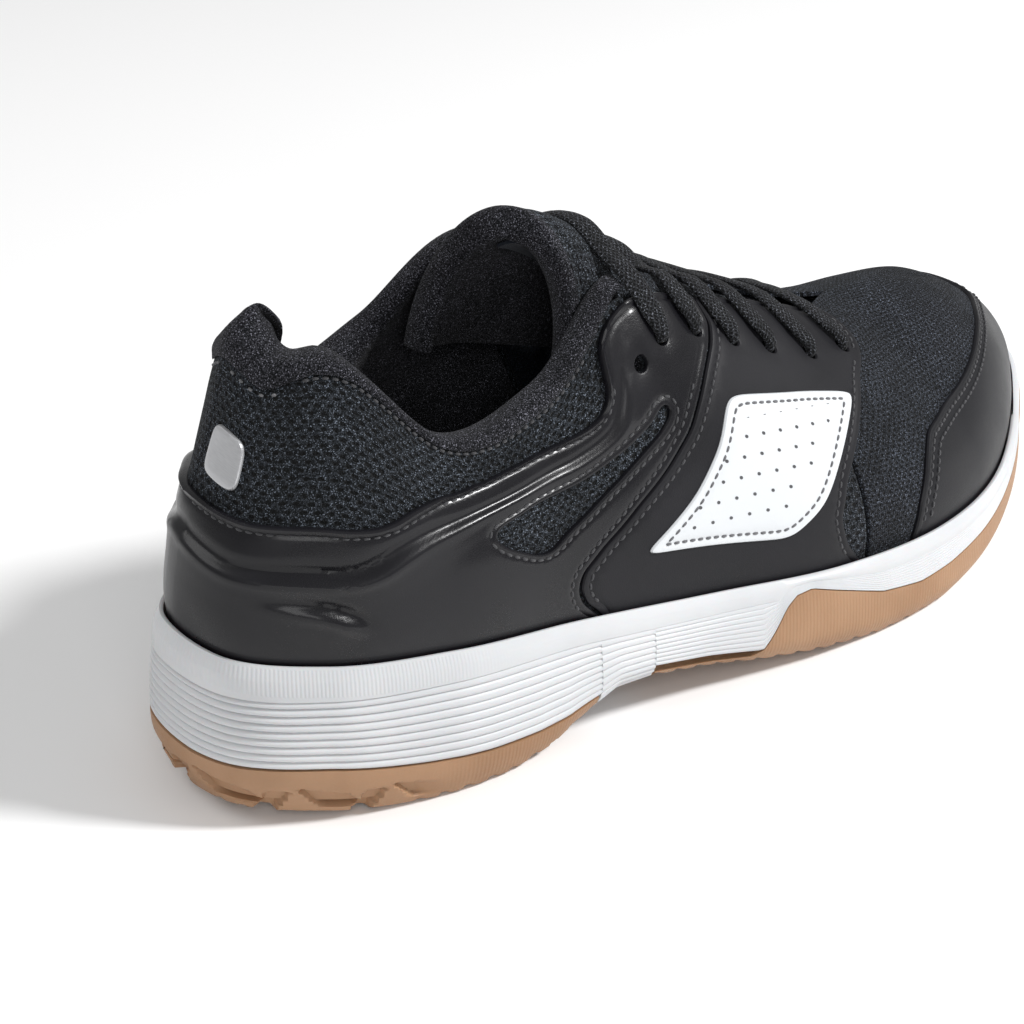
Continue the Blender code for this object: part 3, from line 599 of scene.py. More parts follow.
def cut(outline, holes, windows, grid, rounding, rings):
    """Triangulate a pattern piece.  Gives points, triangles, edge distance and seams."""
    edge = ccw(soften(resample(np.array(outline) * (ST, SV), STEP), rounding))
    loops = [edge]
    loops += [ccw(soften(resample(np.array(w) * (ST, SV), STEP), 8)) for w in windows]
    loops += [ccw(np.array(h) * (ST, SV)) for h in holes]
    free = np.concatenate([resample(lo, FINE_STEP) for lo in loops])
    free = free[~is_join(free)]
    tree = tree_of(free)
    every = tree_of(np.concatenate([resample(lo, FINE_STEP) for lo in loops]))
    extra, seams = [], []
    for index, lo in enumerate(loops):
        for distance in (rings if index <= len(windows) else RINGS):
            ring = inset(lo, distance if index == 0 else -distance)
            good = (gap(tree, ring) > distance * .85) & ~is_join(lo)
            extra.append(ring[good & (gap(every, ring) > .25)])
            if abs(distance - SEW) < 1e-6:
                seams.append(np.where(good[:, None], ring, np.nan))
    lo, hi = edge.min(0), edge.max(0)
    xs, ys = np.arange(lo[0], hi[0], grid), np.arange(lo[1], hi[1], grid * .87)
    mesh = np.array([(x + (grid / 2 if k % 2 else 0), y) for k, y in enumerate(ys) for x in xs])
    # the grid stays clear of the rings and of every edge
    mesh = mesh[gap(every, mesh) > max(rings[-1] + .35 * grid, .6 * grid)]
    extra.append(mesh)
    verts, faces = [], []
    for loop in loops:
        faces.append(list(range(len(verts), len(verts) + len(loop))))
        verts += [Vector(p) for p in loop]
    verts += [Vector(p) for p in np.concatenate(extra)]
    co, _, tri, _, _, of = delaunay_2d_cdt(verts, [], faces, 0, 1e-4)
    keep = [f for f, o in zip(tri, of) if 0 in o and not any(k in o for k in range(1, len(loops)))]
    used = sorted({k for f in keep for k in f})
    new = {k: i for i, k in enumerate(used)}
    co = np.array([co[k] for k in used])
    return co, [[new[k] for k in f] for f in keep], gap(tree, co), seams


def panel(name, parts, lo, hi, mat, grid=2.2, rounding=5, sewn=False, relief=None,
          over="heel", stands_for=()):
    """Closed panel of the upper between depths lo and hi.  Gives its seam lines."""
    co, faces, uv, lines = [], [], [], []
    for side, outline, holes, windows in parts:
        flat, tri, dist, seams = cut(outline, holes, windows, grid, rounding,
                                     SEWN_RINGS if sewn else RINGS)
        t, v = flat[:, 0] / ST, flat[:, 1] / SV
        edge = min(EDGE_ROUND, (hi - lo) * .8)
        w = np.clip(1 - dist / RINGS[-1], 0, 1)
        d = hi - edge * (1 - np.sqrt(1 - w * w))
        if sewn:
            d = d - SEAM_DEPTH * hump(dist, SEW, .55)
        if relief is not None:
            d = d + relief(side, t, v, dist)
        top, low = skin(side, t, v, d), skin(side, t, v, lo)
        n, base = len(flat), len(co)
        co += list(top) + list(low)
        own = flat.copy()
        if side > 0:
            own[:, 0] = -own[:, 0] if over == "heel" else 2 * ST - own[:, 0]
        on = joined(t, v)
        edges = dict.fromkeys((a, b) for f in tri for a, b in zip(f, f[1:] + f[:1]))
        walls = [[b, a, a + n, b + n] for a, b in edges
                 if (b, a) not in edges and not (on[a] and on[b])]
        body = [list(f) for f in tri] + [[k + n for k in f[::-1]] for f in tri] + walls
        if side > 0:
            body = [f[::-1] for f in body]
        uv += corners(body, np.concatenate([own, own]))
        faces += [[k + base for k in f] for f in body]
        lines += [(side, line, hi - SEAM_DEPTH) for line in seams]
    make(name, co, faces, mat, stands_for, uv=uv, weld=.03)
    return lines


def runs(points, good, loop=True):
    """Unbroken stretches of a line, which is closed if loop."""
    n = len(points)
    if good.all():
        return [np.concatenate([points, points[:1]]) if loop else points]
    start = int(np.argmax(~good)) if loop else 0
    order = [(start + k) % n for k in range(n)]
    out, now = [], []
    for k in order:
        if good[k]:
            now.append(points[k])
        elif len(now) > 3:
            out.append(np.array(now))
            now = []
        else:
            now = []
    if len(now) > 3:
        out.append(np.array(now))
    return out


def along(points, pitch):
    """Points, and the way on, at even steps along a line in space."""
    s = lengths(points)
    at = (np.arange(int(s[-1] / pitch)) + .5) * pitch
    p = between(at, s, points)
    return p, unit(between(at + .3, s, points) - p + 1e-9)


# place along a stitch, size of the ring and how high it lies
STITCH = ((-.5, .35, -.6), (-.36, .85, -.05), (-.12, 1, .1), (.12, 1, .1), (.36, .85, -.05),
          (.5, .35, -.6))
STITCH_WIDE, STITCH_HIGH = .36, .3


def stitch_mesh(tracks, pitch, length):
    """Small rounded stitches laid end to end on each track of points and normals."""
    co, faces, uv = [], [], []
    turn = np.arange(6) * np.pi / 3
    for points, normals in tracks:
        p, way = along(points, pitch)
        if not len(p):
            continue
        tree = tree_of(points)
        for at, go in zip(p, way):
            up = normals[tree.find(at)[1]]
            across = unit(np.cross(up, go))
            base = len(co)
            for x, r, z in STITCH:
                for a in turn:
                    co.append(at + go * x * length + across * STITCH_WIDE * r * np.cos(a)
                              + up * STITCH_HIGH * (r * np.sin(a) + z))
                    uv.append((x * length, a * STITCH_WIDE))
            faces += quads(lambda i, j: base + i * 6 + j % 6, len(STITCH), 7)
            faces.append([base + j for j in range(6)][::-1])
            faces.append([len(co) - 6 + j for j in range(6)])
    return co, faces, uv


def sew(name, lines, where, mat="thread", pitch=2.4, length=1.75, lift=.12, loop=True):
    """Stitches on the seam lines of a panel, where the test on (t, v) allows."""
    tracks = []
    for side, line, d in lines:
        t, v = line[:, 0] / ST, line[:, 1] / SV
        good = ~np.isnan(t) & where(np.nan_to_num(t), np.nan_to_num(v, nan=-1))
        for part in runs(line, good, loop):
            t, v = part[:, 0] / ST, part[:, 1] / SV
            tracks.append((skin(side, t, v, d + lift), normal(side, t, v)))
    co, faces, uv = stitch_mesh(tracks, pitch, length)
    return make(name, co, faces, mat, uv=corners(faces, uv), sharp=80)


def line_between(points, distance=0.0, step=1.0):
    """Open (t, v) line, evenly spaced and shifted to its left, for extra seams."""
    p = np.array(points) * (ST, SV)
    s = lengths(p)
    q = between(np.arange(0, s[-1], step), s, p)
    for _ in range(12):
        q[1:-1] = (q[:-2] + 2 * q[1:-1] + q[2:]) / 4
    tangent = unit(np.gradient(q, axis=0))
    return q + np.stack([-tangent[:, 1], tangent[:, 0]], -1) * distance


# ------------------------------------------------------------------- sole ---
WELT = 3.2                        # the side wall starts this far outside the feather line
TUCK = 3.2                        # and turns back in by this much at the bottom
WIDEST = .7                       # share of its height down to where it is widest


def wall(side, t, z):
    """Point of the sole's side wall at height z, and the way out of it."""
    b = feather(side, t)
    w = np.clip((b[..., 2] - z) / (b[..., 2] - row(EDGE, t)), 0, 1)
    belly = 1 - (1 - np.minimum(w / WIDEST, 1)) ** 2
    turned = np.maximum(0, (w - WIDEST) / (1 - WIDEST)) ** 2
    o = WELT + (row(FLARE, t) - WELT) * belly - TUCK * turned
    out = outward(side, t)
    p = b + out * o[..., None]
    p[..., 2] = z
    return p, out


def plan(side, t, out, z):
    p = feather(side, t) + outward(side, t) * np.asarray(out)[..., None]
    p[..., 2] = z
    return p


def skirt(name, ts, profile, mat, stands_for, uv_of):
    """Solid between the two sides: profile gives one row of points for every t."""
    rows = [profile(side, ts) for side in (-1, 1)]
    m, n = rows[0].shape[:2]
    uv = [uv_of(side, ts, r).reshape(-1, 2) for side, r in zip((-1, 1), rows)]
    at = lambda g, i, k: g * m * n + i * n + k
    faces = quads(lambda i, k: at(0, i, k), m, n) + quads(lambda i, k: at(1, i, k), m, n, True)
    for k in (0, n - 1):
        faces += quads(lambda g, i: at(g, i, k), 2, m, k > 0)
    return make(name, np.concatenate(rows).reshape(-1, 3), faces, mat, stands_for,
                uv=corners(faces, np.concatenate(uv)), weld=.02, sharp=40)


# height of the plain top band and depth of the grooves under it, against t
BAND = ((0, 8.5), (.1, 8.2), (.2, 7.2), (.34, 5.6), (.5, 4.6), (.7, 4.2), (1, 3.5))
GROOVE_DEPTH = ((0, .95), (.12, .8), (.25, .62), (.36, .5), (.46, .3), (.56, .12), (.7, .1),
                (.9, .12), (1, .1))
GROOVES = 9
T_HEEL_END, T_FORE_START = .35, .402


def along_wall(side, t):
    """Arc length from the heel centre, negative on the inner side."""
    return -side * lengths(feather(side, t)[:, :2])


def midsole_profile(side, t):
    """Lip, plain band, grooves and the tuck under the rubber; bare where there is no rubber."""
    b = feather(side, t)[:, 2]
    ze, zr = row(EDGE, t), row(RUBBER, t)
    bare = (t > .352) & (t < .40)
    lip = np.where(bare, ze + .35, zr + .3)
    under = np.where(bare, ze, ze + 4.3)
    lip = np.maximum(lip, under + .2)
    band = np.minimum(row(BAND, t), (b - lip) * .45)
    seat = np.where(t < .9, 1.8, 2.3)
    rows = [plan(side, t, out, z) for out, z in
            ((seat, b - 5.5), (seat, b - .2), (2.3, b + .1), (2.75, b + .05))]
    for q in fine(.35, 1, 8):
        p, out = wall(side, t, b - band * q)
        rows.append(p + out * .35 * np.sin(np.pi * q))
    depth = row(GROOVE_DEPTH, t)
    count = GROOVES * 8
    for k in range(count + 1):
        q = k / count
        p, out = wall(side, t, (b - band) * (1 - q) + lip * q)
        phase = q * GROOVES
        ridge = abs(np.sin(np.pi * phase)) ** .6
        first = .9 * hump(phase, .12, .22) * hump(t, .02, .05)
        rows.append(p - out * (depth * (1 - ridge) + first)[..., None])
    p, out = wall(side, t, lip)
    rows.append(p - out * np.where(bare, .5, 1.7)[..., None])
    rows.append(plan(side, t, np.full_like(t, -1.5), under))
    return np.stack(rows, 1)


def midsole_uv(side, t, rows):
    b = feather(side, t)[:, 2]
    u = np.repeat(along_wall(side, t)[:, None], rows.shape[1], 1)
    return np.stack([u, b[:, None] - rows[..., 2]], -1)


LUG_PITCH, LUG_DEPTH = 21.0, 2.4
NOTCH_PITCH, NOTCH_DEPTH = 6.2, .9


def lug(side, s, h, t):
    """Recess depth of the tread lugs that turn up the side wall."""
    s = np.abs(s) + (3 if side < 0 else 0)
    heel = smooth(t, .205, .17)
    x = np.mod(s + h * .9, LUG_PITCH)
    ceiling = 8.0 - x * .16
    window = smooth(x, 2.2, 3.4) * smooth(x, 12.5, 11.3) * smooth(h, 2.4, 3.2)
    window = window * smooth(h, ceiling + .8, ceiling)
    y = np.mod(s - h * .5 + 8, LUG_PITCH)
    slot = smooth(y, 14.6, 15.4) * smooth(y, 19.2, 18.4) * smooth(h, 7.4, 6.6)
    z = np.mod(s, NOTCH_PITCH)
    notch = smooth(z, 2.0, 2.6) * smooth(z, 4.6, 4.0) * smooth(h, 1.9, 1.2)
    return LUG_DEPTH * np.maximum(window, slot) * heel + NOTCH_DEPTH * notch * (1 - heel)


ZIGZAG, BAR_PITCH = 15.0, 6.5      # herringbone: width of a leg, spacing of the bars
PIVOT = (54, -2)                   # middle of the turning rings under the ball
PIVOT_RADIUS, RING_PITCH = 25, 8
TREAD_DEPTH = 1.6


def tread(x, y):
    """Depth of the grooves under the sole: herringbone, with rings under the ball."""
    bend = np.abs(np.mod(y / ZIGZAG, 2) - 1) * ZIGZAG
    phase = np.mod(x + bend * .75, BAR_PITCH)
    bars = smooth(phase, 1.6, 2.1) * smooth(phase, BAR_PITCH, BAR_PITCH - .5)
    ring = np.hypot((x - PIVOT[0]) / 1.1, y - PIVOT[1])
    pivot = smooth(np.abs(np.mod(ring, RING_PITCH) - RING_PITCH / 2), 2.9, 3.4)
    return TREAD_DEPTH * np.where(ring < PIVOT_RADIUS, pivot, 1 - bars)


def outsole(name, ts, rear, front, stands_for):
    """Rubber shell: side wall with lugs, and a grooved underside as one skin.

    rear and front say which end of the piece has a wall of its own.
    """
    across, up = 44, 26
    co, tag = [], []
    for side in (-1, 1):
        ze, zr = row(EDGE, ts), row(RUBBER, ts)
        s = along_wall(side, feather_steps(ts))[-len(ts):]
        rows, uv = [], []
        for k in range(up + 1):
            q = k / up
            z = zr * (1 - q) + (ze + .8) * q
            p, out = wall(side, ts, z)
            depth = lug(side, s, z - ze, ts) * min(1, k / 2)
            rows.append(p - out * depth[..., None])
            uv.append(np.stack([s, np.full_like(s, 2.0 if 0 < k < up - 1 else 0.0)], -1))
        inner = plan(side, ts, np.full_like(ts, -1.8), ze + 3.9)
        lip_p, lip_out = wall(side, ts, zr)
        lip_low, low_out = wall(side, ts, np.minimum(zr - .2, ze + 4))
        head = [inner, lip_low - low_out * 1.2, lip_p - lip_out * 1.2]
        head_uv = [np.stack([s, np.zeros_like(s)], -1)] * 3
        co.append(np.stack(head + rows, 1))
        tag.append(np.stack(head_uv + uv, 1))
    m, n = co[0].shape[:2]
    # underside: straight across from the outer to the inner edge
    left, right = co[0][:, -1], co[1][:, -1]
    w = np.arange(across + 1) / across
    straight = lambda a, b: a[:, None] * (1 - w)[None, :, None] + b[:, None] * w[None, :, None]
    base = straight(left, right)
    ease = np.minimum(1, np.minimum(w, 1 - w) * across / 3)
    groove = tread(base[..., 0], base[..., 1])
    base[..., 2] = np.where(ease < .01, base[..., 2], row(EDGE, ts)[:, None] + groove * ease)
    top = straight(co[0][:, 0], co[1][:, 0])
    pts = np.concatenate([c.reshape(-1, 3) for c in (co[0], co[1], base, top)])
    uv = np.concatenate([tag[0].reshape(-1, 2), tag[1].reshape(-1, 2),
                         np.zeros((2 * m * (across + 1), 2))])
    start = (0, m * n, 2 * m * n, 2 * m * n + m * (across + 1))
    wide = (n, n, across + 1, across + 1)
    at = lambda g, i, k: start[g] + i * wide[g] + k
    faces = []
    for g in range(4):
        faces += quads(lambda i, k: at(g, i, k), m, wide[g], g % 2 > 0)
    for i, closed in ((0, rear), (m - 1, front)):
        if closed:
            loop = [at(0, i, k) for k in range(n)] + [at(2, i, k) for k in range(1, across)]
            loop += [at(1, i, k) for k in range(n)][::-1]
            faces.append(loop + [at(3, i, k) for k in range(1, across)][::-1])
    make(name, pts, faces, "gum", stands_for, uv=corners(faces, uv), weld=.02, sharp=40)


def feather_steps(ts):
    """The steps from the heel centre on that end with ts, for lengths along the wall."""
    if ts[0] <= 0:
        return ts
    return np.concatenate([fine(0, ts[0], 40)[:-1], ts])


T_MID = np.unique(np.concatenate([fine(0, 1, 230), [.352, .3521, .40, .3999]]))
skirt("midsole_shell", T_MID, midsole_profile, "foam_white", ("midsole",), midsole_uv)
outsole("outsole_heel_tread", fine(0, T_HEEL_END, 110), False, True, ("outsole_heel",))
outsole("outsole_forefoot_tread", fine(T_FORE_START, 1, 190), True, False, ("outsole_forefoot",))


# inset, height and share of the crown, from the middle of the top to its edge
BED_TOP = ((14, 0, 0), (6, 0, .15), (2.5, 0, .7), (.8, 0, 1), (0, -.6, 1))
# inset and height, from the edge to the middle of the underside
BED_LOW = ((0, .3), (.4, 0), (10, 0))


def bed(low, high, edge, crown=0.0):
    """Profile of a sheet on the sole, edge mm inside the feather line."""
    def profile(side, t):
        b = feather(side, t)[:, 2]
        rows = [(i, b + high + crown * c + h) for i, h, c in BED_TOP]
        rows += [(i, b + low + h) for i, h in BED_LOW]
        return np.stack([plan(side, t, np.full_like(t, -edge - i), z) for i, z in rows], 1)
    return profile


def bed_uv(side, t, rows):
    return rows[..., :2]


T_BED = fine(0, 1, 90)
skirt("strobel_sheet", T_BED, bed(-5.0, -3.9, 3.0), "board", ("strobel_board",), bed_uv)

# ---------------------------------------------------------------- patterns ---
# all lines are (t, v) points
HOLES = ((.442, .765), (.472, .80), (.513, .80), (.55, .76), (.587, .725), (.627, .70), (.672, .725))
SHIFT = .02          # the inner holes stand a little further towards the toe
HOLE_R = 1.9         # mm
SEAM = ((.358, -.12), (.358, 0), (.343, .06), (.338, .125), (.342, .195), (.364, .285), (.40, .38),
        (.432, .445), (.464, .525), (.486, .61), (.502, .675), (.522, .75), (.534, .82), (.538, .93))
TOP_EDGE = ((0, .455), (.05, .467), (.10, .47), (.136, .47), (.154, .487), (.168, .525), (.19, .63),
            (.208, .71), (.24, .785), (.274, .815), (.31, .81), (.344, .785), (.375, .745), (.392, .735),
            (.403, .77), (.406, .85), (.41, .92), (.425, .95), (.455, .955), (.49, .94))
WINDOW = ((.255, .50), (.262, .545), (.304, .585), (.36, .575), (.406, .575), (.434, .595), (.448, .635),
          (.456, .60), (.44, .56), (.404, .52), (.368, .475), (.332, .40), (.312, .335), (.30, .34),
          (.268, .43))
PANEL_FRONT = ((.60, -.12), (.60, 0), (.586, .07), (.582, .16), (.597, .28), (.625, .41),
               (.648, .52), (.664, .60), (.685, .67), (.70, .74), (.705, .83), (.70, .93))
TOE_EDGE = ((.662, -.12), (.662, 0), (.671, .14), (.692, .29), (.708, .365), (.746, .40),
            (.792, .435), (.84, .475), (.884, .52), (.944, .563), (1, .57))
PATCH = ((.395, .2), (.53, .14), (.565, .22), (.60, .37), (.643, .553), (.51, .59), (.485, .46), (.45, .34))
RIDGE = ((0, .335), (.035, .315), (.068, .305), (.1, .312), (.128, .31), (.148, .31), (.158, .335),
         (.176, .425), (.206, .545), (.235, .625), (.262, .665), (.322, .678), (.378, .645), (.402, .632),
         (.412, .665), (.414, .73), (.425, .80), (.44, .88))
RIDGE_HEIGHT = ((0, .7), (.07, 1.1), (.12, 1.4), (.16, 1.5), (.19, .9), (.24, .6), (.32, .5), (.40, .55),
                (.42, .5), (.44, 0))
SPUR = ((.075, .222), (.10, .214), (.12, .206), (.138, .198), (.150, .178), (.158, .145), (.160, .12))
SPUR_HEIGHT = ((.075, 0), (.10, .6), (.125, 1.2), (.145, 1.2), (.160, 0))


def disc(side, t, v, r, n=16):
    """Round hole of radius r at (t, v), as a pattern outline."""
    e = 1e-3
    a = np.linalg.norm(master(side, t + e, v) - master(side, t - e, v)) / (2 * e)
    b = np.linalg.norm(master(side, t, v + e) - master(side, t, v - e)) / (2 * e)
    w = (np.arange(n) + .5) * 2 * np.pi / n
    return [(t + r * np.cos(q) / a, v + r * np.sin(q) / b) for q in w]


def holes_of(side, pick, r=HOLE_R):
    return [disc(side, t + (SHIFT if side > 0 else 0), v, r) for t, v in pick]


def seam(side, gap_):
    k = SHIFT if side > 0 else 0
    return [(t + gap_ + k * min(max((v - .3) / .4, 0), 1), v) for t, v in SEAM]


def beside(points, line):
    """Signed distance from an open line (left is positive) and the nearest t on it."""
    q = np.array(line) * (ST, SV)
    best = np.full(len(points), 1e9)
    sign, at = np.ones(len(points)), np.zeros(len(points))
    for a, b in zip(q[:-1], q[1:]):
        way = b - a
        w = np.clip(((points - a) @ way) / (way @ way), 0, 1)
        near = a + w[:, None] * way
        d = np.linalg.norm(points - near, axis=1)
        s = way[0] * (points[:, 1] - a[1]) - way[1] * (points[:, 0] - a[0])
        hit = d < best
        best = np.where(hit, d, best)
        sign = np.where(hit, s, sign)
        at = np.where(hit, near[:, 0] / ST, at)
    return best * np.sign(sign), at


def moulding(points, line, heights):
    """A pressed channel above the line and a raised lip below it."""
    fine_line = line_between(line, 0, 2.0) / (ST, SV)
    d, at = beside(points, fine_line)
    h = row(heights, at)
    return h * (.95 * hump(d, -1.6, 1.9) - .85 * hump(d, 1.5, 1.7) + .35 * hump(d, -4.5, 3.5))


def heel_relief(side, t, v, dist):
    """Pressed channel, spur and a bead along the top edge of the heel overlay."""
    p = np.stack([t * ST, v * SV], -1)
    d = moulding(p, RIDGE, RIDGE_HEIGHT) + moulding(p, SPUR, SPUR_HEIGHT)
    edge, _ = beside(p, TOP_EDGE)
    bead = .75 * hump(-edge, .9, .75) * smooth(t, .47, .42)
    calm = smooth(dist, 1.0, 5.0)
    return d * calm + bead


def eyelet_dents(side, t, v, dist):
    """Soft hollows where the lace pulls the eyestay down between the holes."""
    k = SHIFT if side > 0 else 0
    waves = sum(hump(t, (a[0] + b[0]) / 2 + k, .011) for a, b in zip(HOLES[:-1], HOLES[1:]))
    return .5 * waves * smooth(v, .7, .85)


def all_relief(side, t, v, dist):
    return heel_relief(side, t, v, dist) + eyelet_dents(side, t, v, dist)


QUARTER_END = {-1: .61, 1: .63}
SIDES = ((-1, "lateral"), (1, "medial"))
for side, word in SIDES:
    end = QUARTER_END[side]
    quarter = [(0, -.12), (end, -.12), (end, .93), (.46, .97), (.40, 1), (0, 1)]
    if side > 0:
        quarter = [(.0015, q[1]) if q[0] == 0 else q for q in quarter]
    panel("quarter_knit_" + word, [(side, quarter, holes_of(side, HOLES[:5]), [])], -1.2, 0,
          "knit", grid=2.6, rounding=1, stands_for=("quarter_mesh_" + word,))
    outline = seam(side, .0015) + list(PANEL_FRONT[::-1])
    lines = panel("side_panel_skin_" + word, [(side, outline, holes_of(side, HOLES[3:]), [])], -.05, 1.2,
                  "panel", rounding=4, sewn=True, relief=eyelet_dents,
                  stands_for=("side_panel_" + word,))
    sew("side_panel_stitches_" + word, lines, lambda t, v: (v > .03) & (v < .88))
    stay = [(.425, .66), (.53, .66), (.60, .62), (.70, .64), (.705, .92), (.45, .92), (.425, .86)]
    panel("eyestay_lining_" + word, [(side, stay, holes_of(side, HOLES), [])], -2.4, -1.5,
          "lining", grid=4, stands_for=("eyestay_backer_" + word,))
    lines = panel("saddle_patch_" + word, [(side, PATCH, [], [])], 1.1, 1.95, "patch",
                  rounding=14, sewn=True, stands_for=("side_patch_" + word,))
    sew("saddle_patch_stitches_" + word, lines, lambda t, v: v > 0, "thread_grey",
        2.4, 1.7)

panel("vamp_knit", [(s, [(QUARTER_END[s] + .002, -.12), (1, -.12), (1, 1), (CLOSED, 1), (.70, .97),
                         (QUARTER_END[s] + .002, .93)], holes_of(s, HOLES[5:]), []) for s in (-1, 1)],
      -1.2, 0, "vamp", grid=2.4, rounding=1, over="toe", stands_for=("vamp_mesh",))
lines = panel("heel_cup_skin", [(s, [(0, -.12)] + seam(s, -.0015) + list(TOP_EDGE[::-1]),
                                 holes_of(s, HOLES[:3]), [WINDOW]) for s in (-1, 1)],
              -.05, 1.25, "overlay", grid=1.05, sewn=True, relief=all_relief,
              stands_for=("heel_overlay",))
sew("heel_cup_stitches", lines,
    lambda t, v: (v > .03) & (t < .5) & ~((t > .41) & (v > .66)))
lines = panel("toe_guard_skin", [(s, [(1, -.12)] + list(TOE_EDGE[::-1]), [], []) for s in (-1, 1)],
              -.05, 1.2, "toe", grid=2.0, rounding=6, sewn=True, over="toe",
              stands_for=("toe_overlay",))
sew("toe_guard_stitches", lines, lambda t, v: v > .03, pitch=2.3, length=1.7)
second = [(s, line_between(TOE_EDGE[1:], -4.4), 1.2) for s in (-1, 1)]
sew("toe_guard_second_row", second, lambda t, v: v > .05, pitch=2.3, length=1.7,
    lift=.1, loop=False)
panel("heel_counter_board", [(s, [(0, -.02), (.26, -.02), (.26, .22), (.2, .46), (0, .46)], [], [])
                             for s in (-1, 1)], -2.7, -1.5, "board", grid=4,
      stands_for=("heel_counter",))
panel("toe_puff_board", [(s, [(.80, -.02), (1, -.02), (1, .62), (.88, .56), (.80, .36)], [], [])
                         for s in (-1, 1)], -2.7, -1.5, "board", grid=4, over="toe",
      stands_for=("toe_puff",))
panel("vamp_lining_cloth", [(s, [(.47, -.02), (1, -.02), (1, 1), (CLOSED, 1), (.745, .80),
                                 (.70, .60), (.47, .60)], [], []) for s in (-1, 1)],
      -4.0, -3.0, "sock", grid=4, over="toe", stands_for=("vamp_lining",))
BADGE = ((.010, .53), (.050, .53), (.050, .70), (.010, .70))
panel("heel_badge_film", [(-1, BADGE, [], [])], -.05, .9, "silver", grid=1.5, rounding=10,
      stands_for=("heel_badge",))

# ------------------------------------------------------------------ collar ---
# thickness of the padding in mm, against t
PAD = ((0, 8.6), (.04, 8.2), (.08, 7.2), (.14, 7), (.26, 7), (.31, 5.5), (.36, 3.6), (.40, 2.6),
       (.44, 1.6), (.465, 1.0))
COLLAR_END, FOAM_END = .462, .40
# how far down the outside the lining turns over, in v
TURN_OVER = ((0, .09), (.06, .095), (.085, .06), (.105, .035), (.14, .033), (.3, .045), (.41, .045),
             (.455, 0))


def around(profile, count, end):
    """A profile swept from the front of the outer side round the heel to the inner side."""
    t = fine(0, end, count)[::-1]
    return np.concatenate([profile(-1, t), profile(1, t[-2::-1])])


def closed_curve(points, per):
    """Smooth closed loops through (m, k, 3) points, per steps to each gap."""
    k = points.shape[1]
    lapped = np.concatenate([points[:, -2:], points, points[:, :3]], 1).transpose(1, 0, 2)
    return spline(np.arange(-2, k + 3), lapped, np.arange(k * per) / per).transpose(1, 0, 2)


def tube(name, rings, mat, stands_for, body="shoe", sharp=60):
    """Solid through rings of points, flat at both ends."""
    m, k = rings.shape[:2]
    uv = ring_uv(rings).reshape(-1, 2)
    faces = quads(lambda i, j: i * k + j % k, m, k + 1)
    tag = corners(quads(lambda i, j: i * (k + 1) + j, m, k + 1), uv)
    last = (m - 1) * (k + 1)
    faces += [list(range(k))[::-1], [(m - 1) * k + j for j in range(k)]]
    tag += [uv[j] for j in range(k)][::-1] + [uv[last + j] for j in range(k)]
    return make(name, rings.reshape(-1, 3), faces, mat, stands_for, body, tag, sharp=sharp)


def ring_uv(rings):
    """Millimetres along the sweep and round the section."""
    u = lengths(rings.mean(1))
    v = np.stack([lengths(np.concatenate([r, r[:1]])) for r in rings])
    return np.stack([np.repeat(u[:, None], v.shape[1], 1), v], -1)


# v, its shares of the turn-over and of the tab, depth, its share of the padding:
# up the outside, over the top, down the inside, and back up behind the cloth
LINING = ((1, 1, 0, .35, 0), (1, .85, 0, 1, 0), (1, 0, 0, 1.15, 0), (1, 0, .034, .3, .1),
          (1, 0, .055, -.8, .27), (1, 0, .064, -1.6, .5), (1, 0, .056, -2, .78),
          (1, 0, .034, -2, 1.02), (1, 0, 0, -2, 1.16), (.9, 0, 0, -2, 1.2), (.76, 0, 0, -2, 1.16),
          (.62, 0, 0, -2.2, 1.05), (.5, 0, 0, -4.9, 0), (.3, 0, 0, -4.9, 0), (.14, 0, 0, -4.9, 0),
          (.03, 0, 0, -4.9, 0), (.03, 0, 0, -4.1, 0), (.14, 0, 0, -4.1, 0), (.3, 0, 0, -4.1, 0),
          (.51, 0, 0, -4.1, 0), (.64, 0, 0, -1.9, .98), (.8, 0, 0, -1.8, 1.07),
          (.96, 0, 0, -1.8, 1.05), (1.035, 0, 0, -1.8, .8), (1.025, 0, 0, -1.5, .35),
          (1.01, 0, 0, -.8, .05), (1, 0, 0, .35, 0))
# v and share of the padding round the foam
FOAM = ((.56, .05), (.66, 0), (.84, 0), (.96, 0), (.995, .12), (1.015, .5), (1, .88), (.95, .98),
        (.84, .98), (.66, .92), (.56, .5))


def lining_profile(side, t):
    pad = row(PAD, t)
    drop = row(TURN_OVER, t)
    tall = 1 + 1.1 * smooth(t, .085, .01)     # the tab stands above the collar
    return np.stack([skin(side, t, v - drop * down + tall * up, d - pad * k)
                     for v, down, up, d, k in LINING], 1)


def foam_profile(side, t):
    pad = row(PAD, t)
    return np.stack([skin(side, t, np.full_like(t, v), -1.7 - pad * k) for v, k in FOAM], 1)


rings = closed_curve(around(lining_profile, 70, COLLAR_END), 3)
collar = tube("collar_lining_roll", rings, "lining", ("collar_lining",))
rings = closed_curve(around(foam_profile, 40, FOAM_END), 2)
pad = tube("collar_padding", rings, "foam", ("collar_foam",))


def under_edge(low, t0, t1, count, shift):
    """Seam line this far below the lining's outer edge, on both sides."""
    line = [(t, 1 - row(TURN_OVER, t) - low) for t in fine(t0, t1, count)]
    return [(side, line_between(line), shift) for side in (-1, 1)]


sew("collar_seam_stitches", under_edge(.014, .095, .40, 60, .12), lambda t, v: v > 0,
    pitch=2.2, length=1.5, loop=False)
sew("heel_tab_stitches", under_edge(.03, .010, .085, 20, .0), lambda t, v: v > 0, "thread_grey",
    2.9, 1.1, loop=False)

sock = skirt("sockliner_pad", T_BED, bed(-3.4, .8, 7.0, 1.6), "sock", ("sockliner",), bed_uv)
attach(sock, "sockliner")

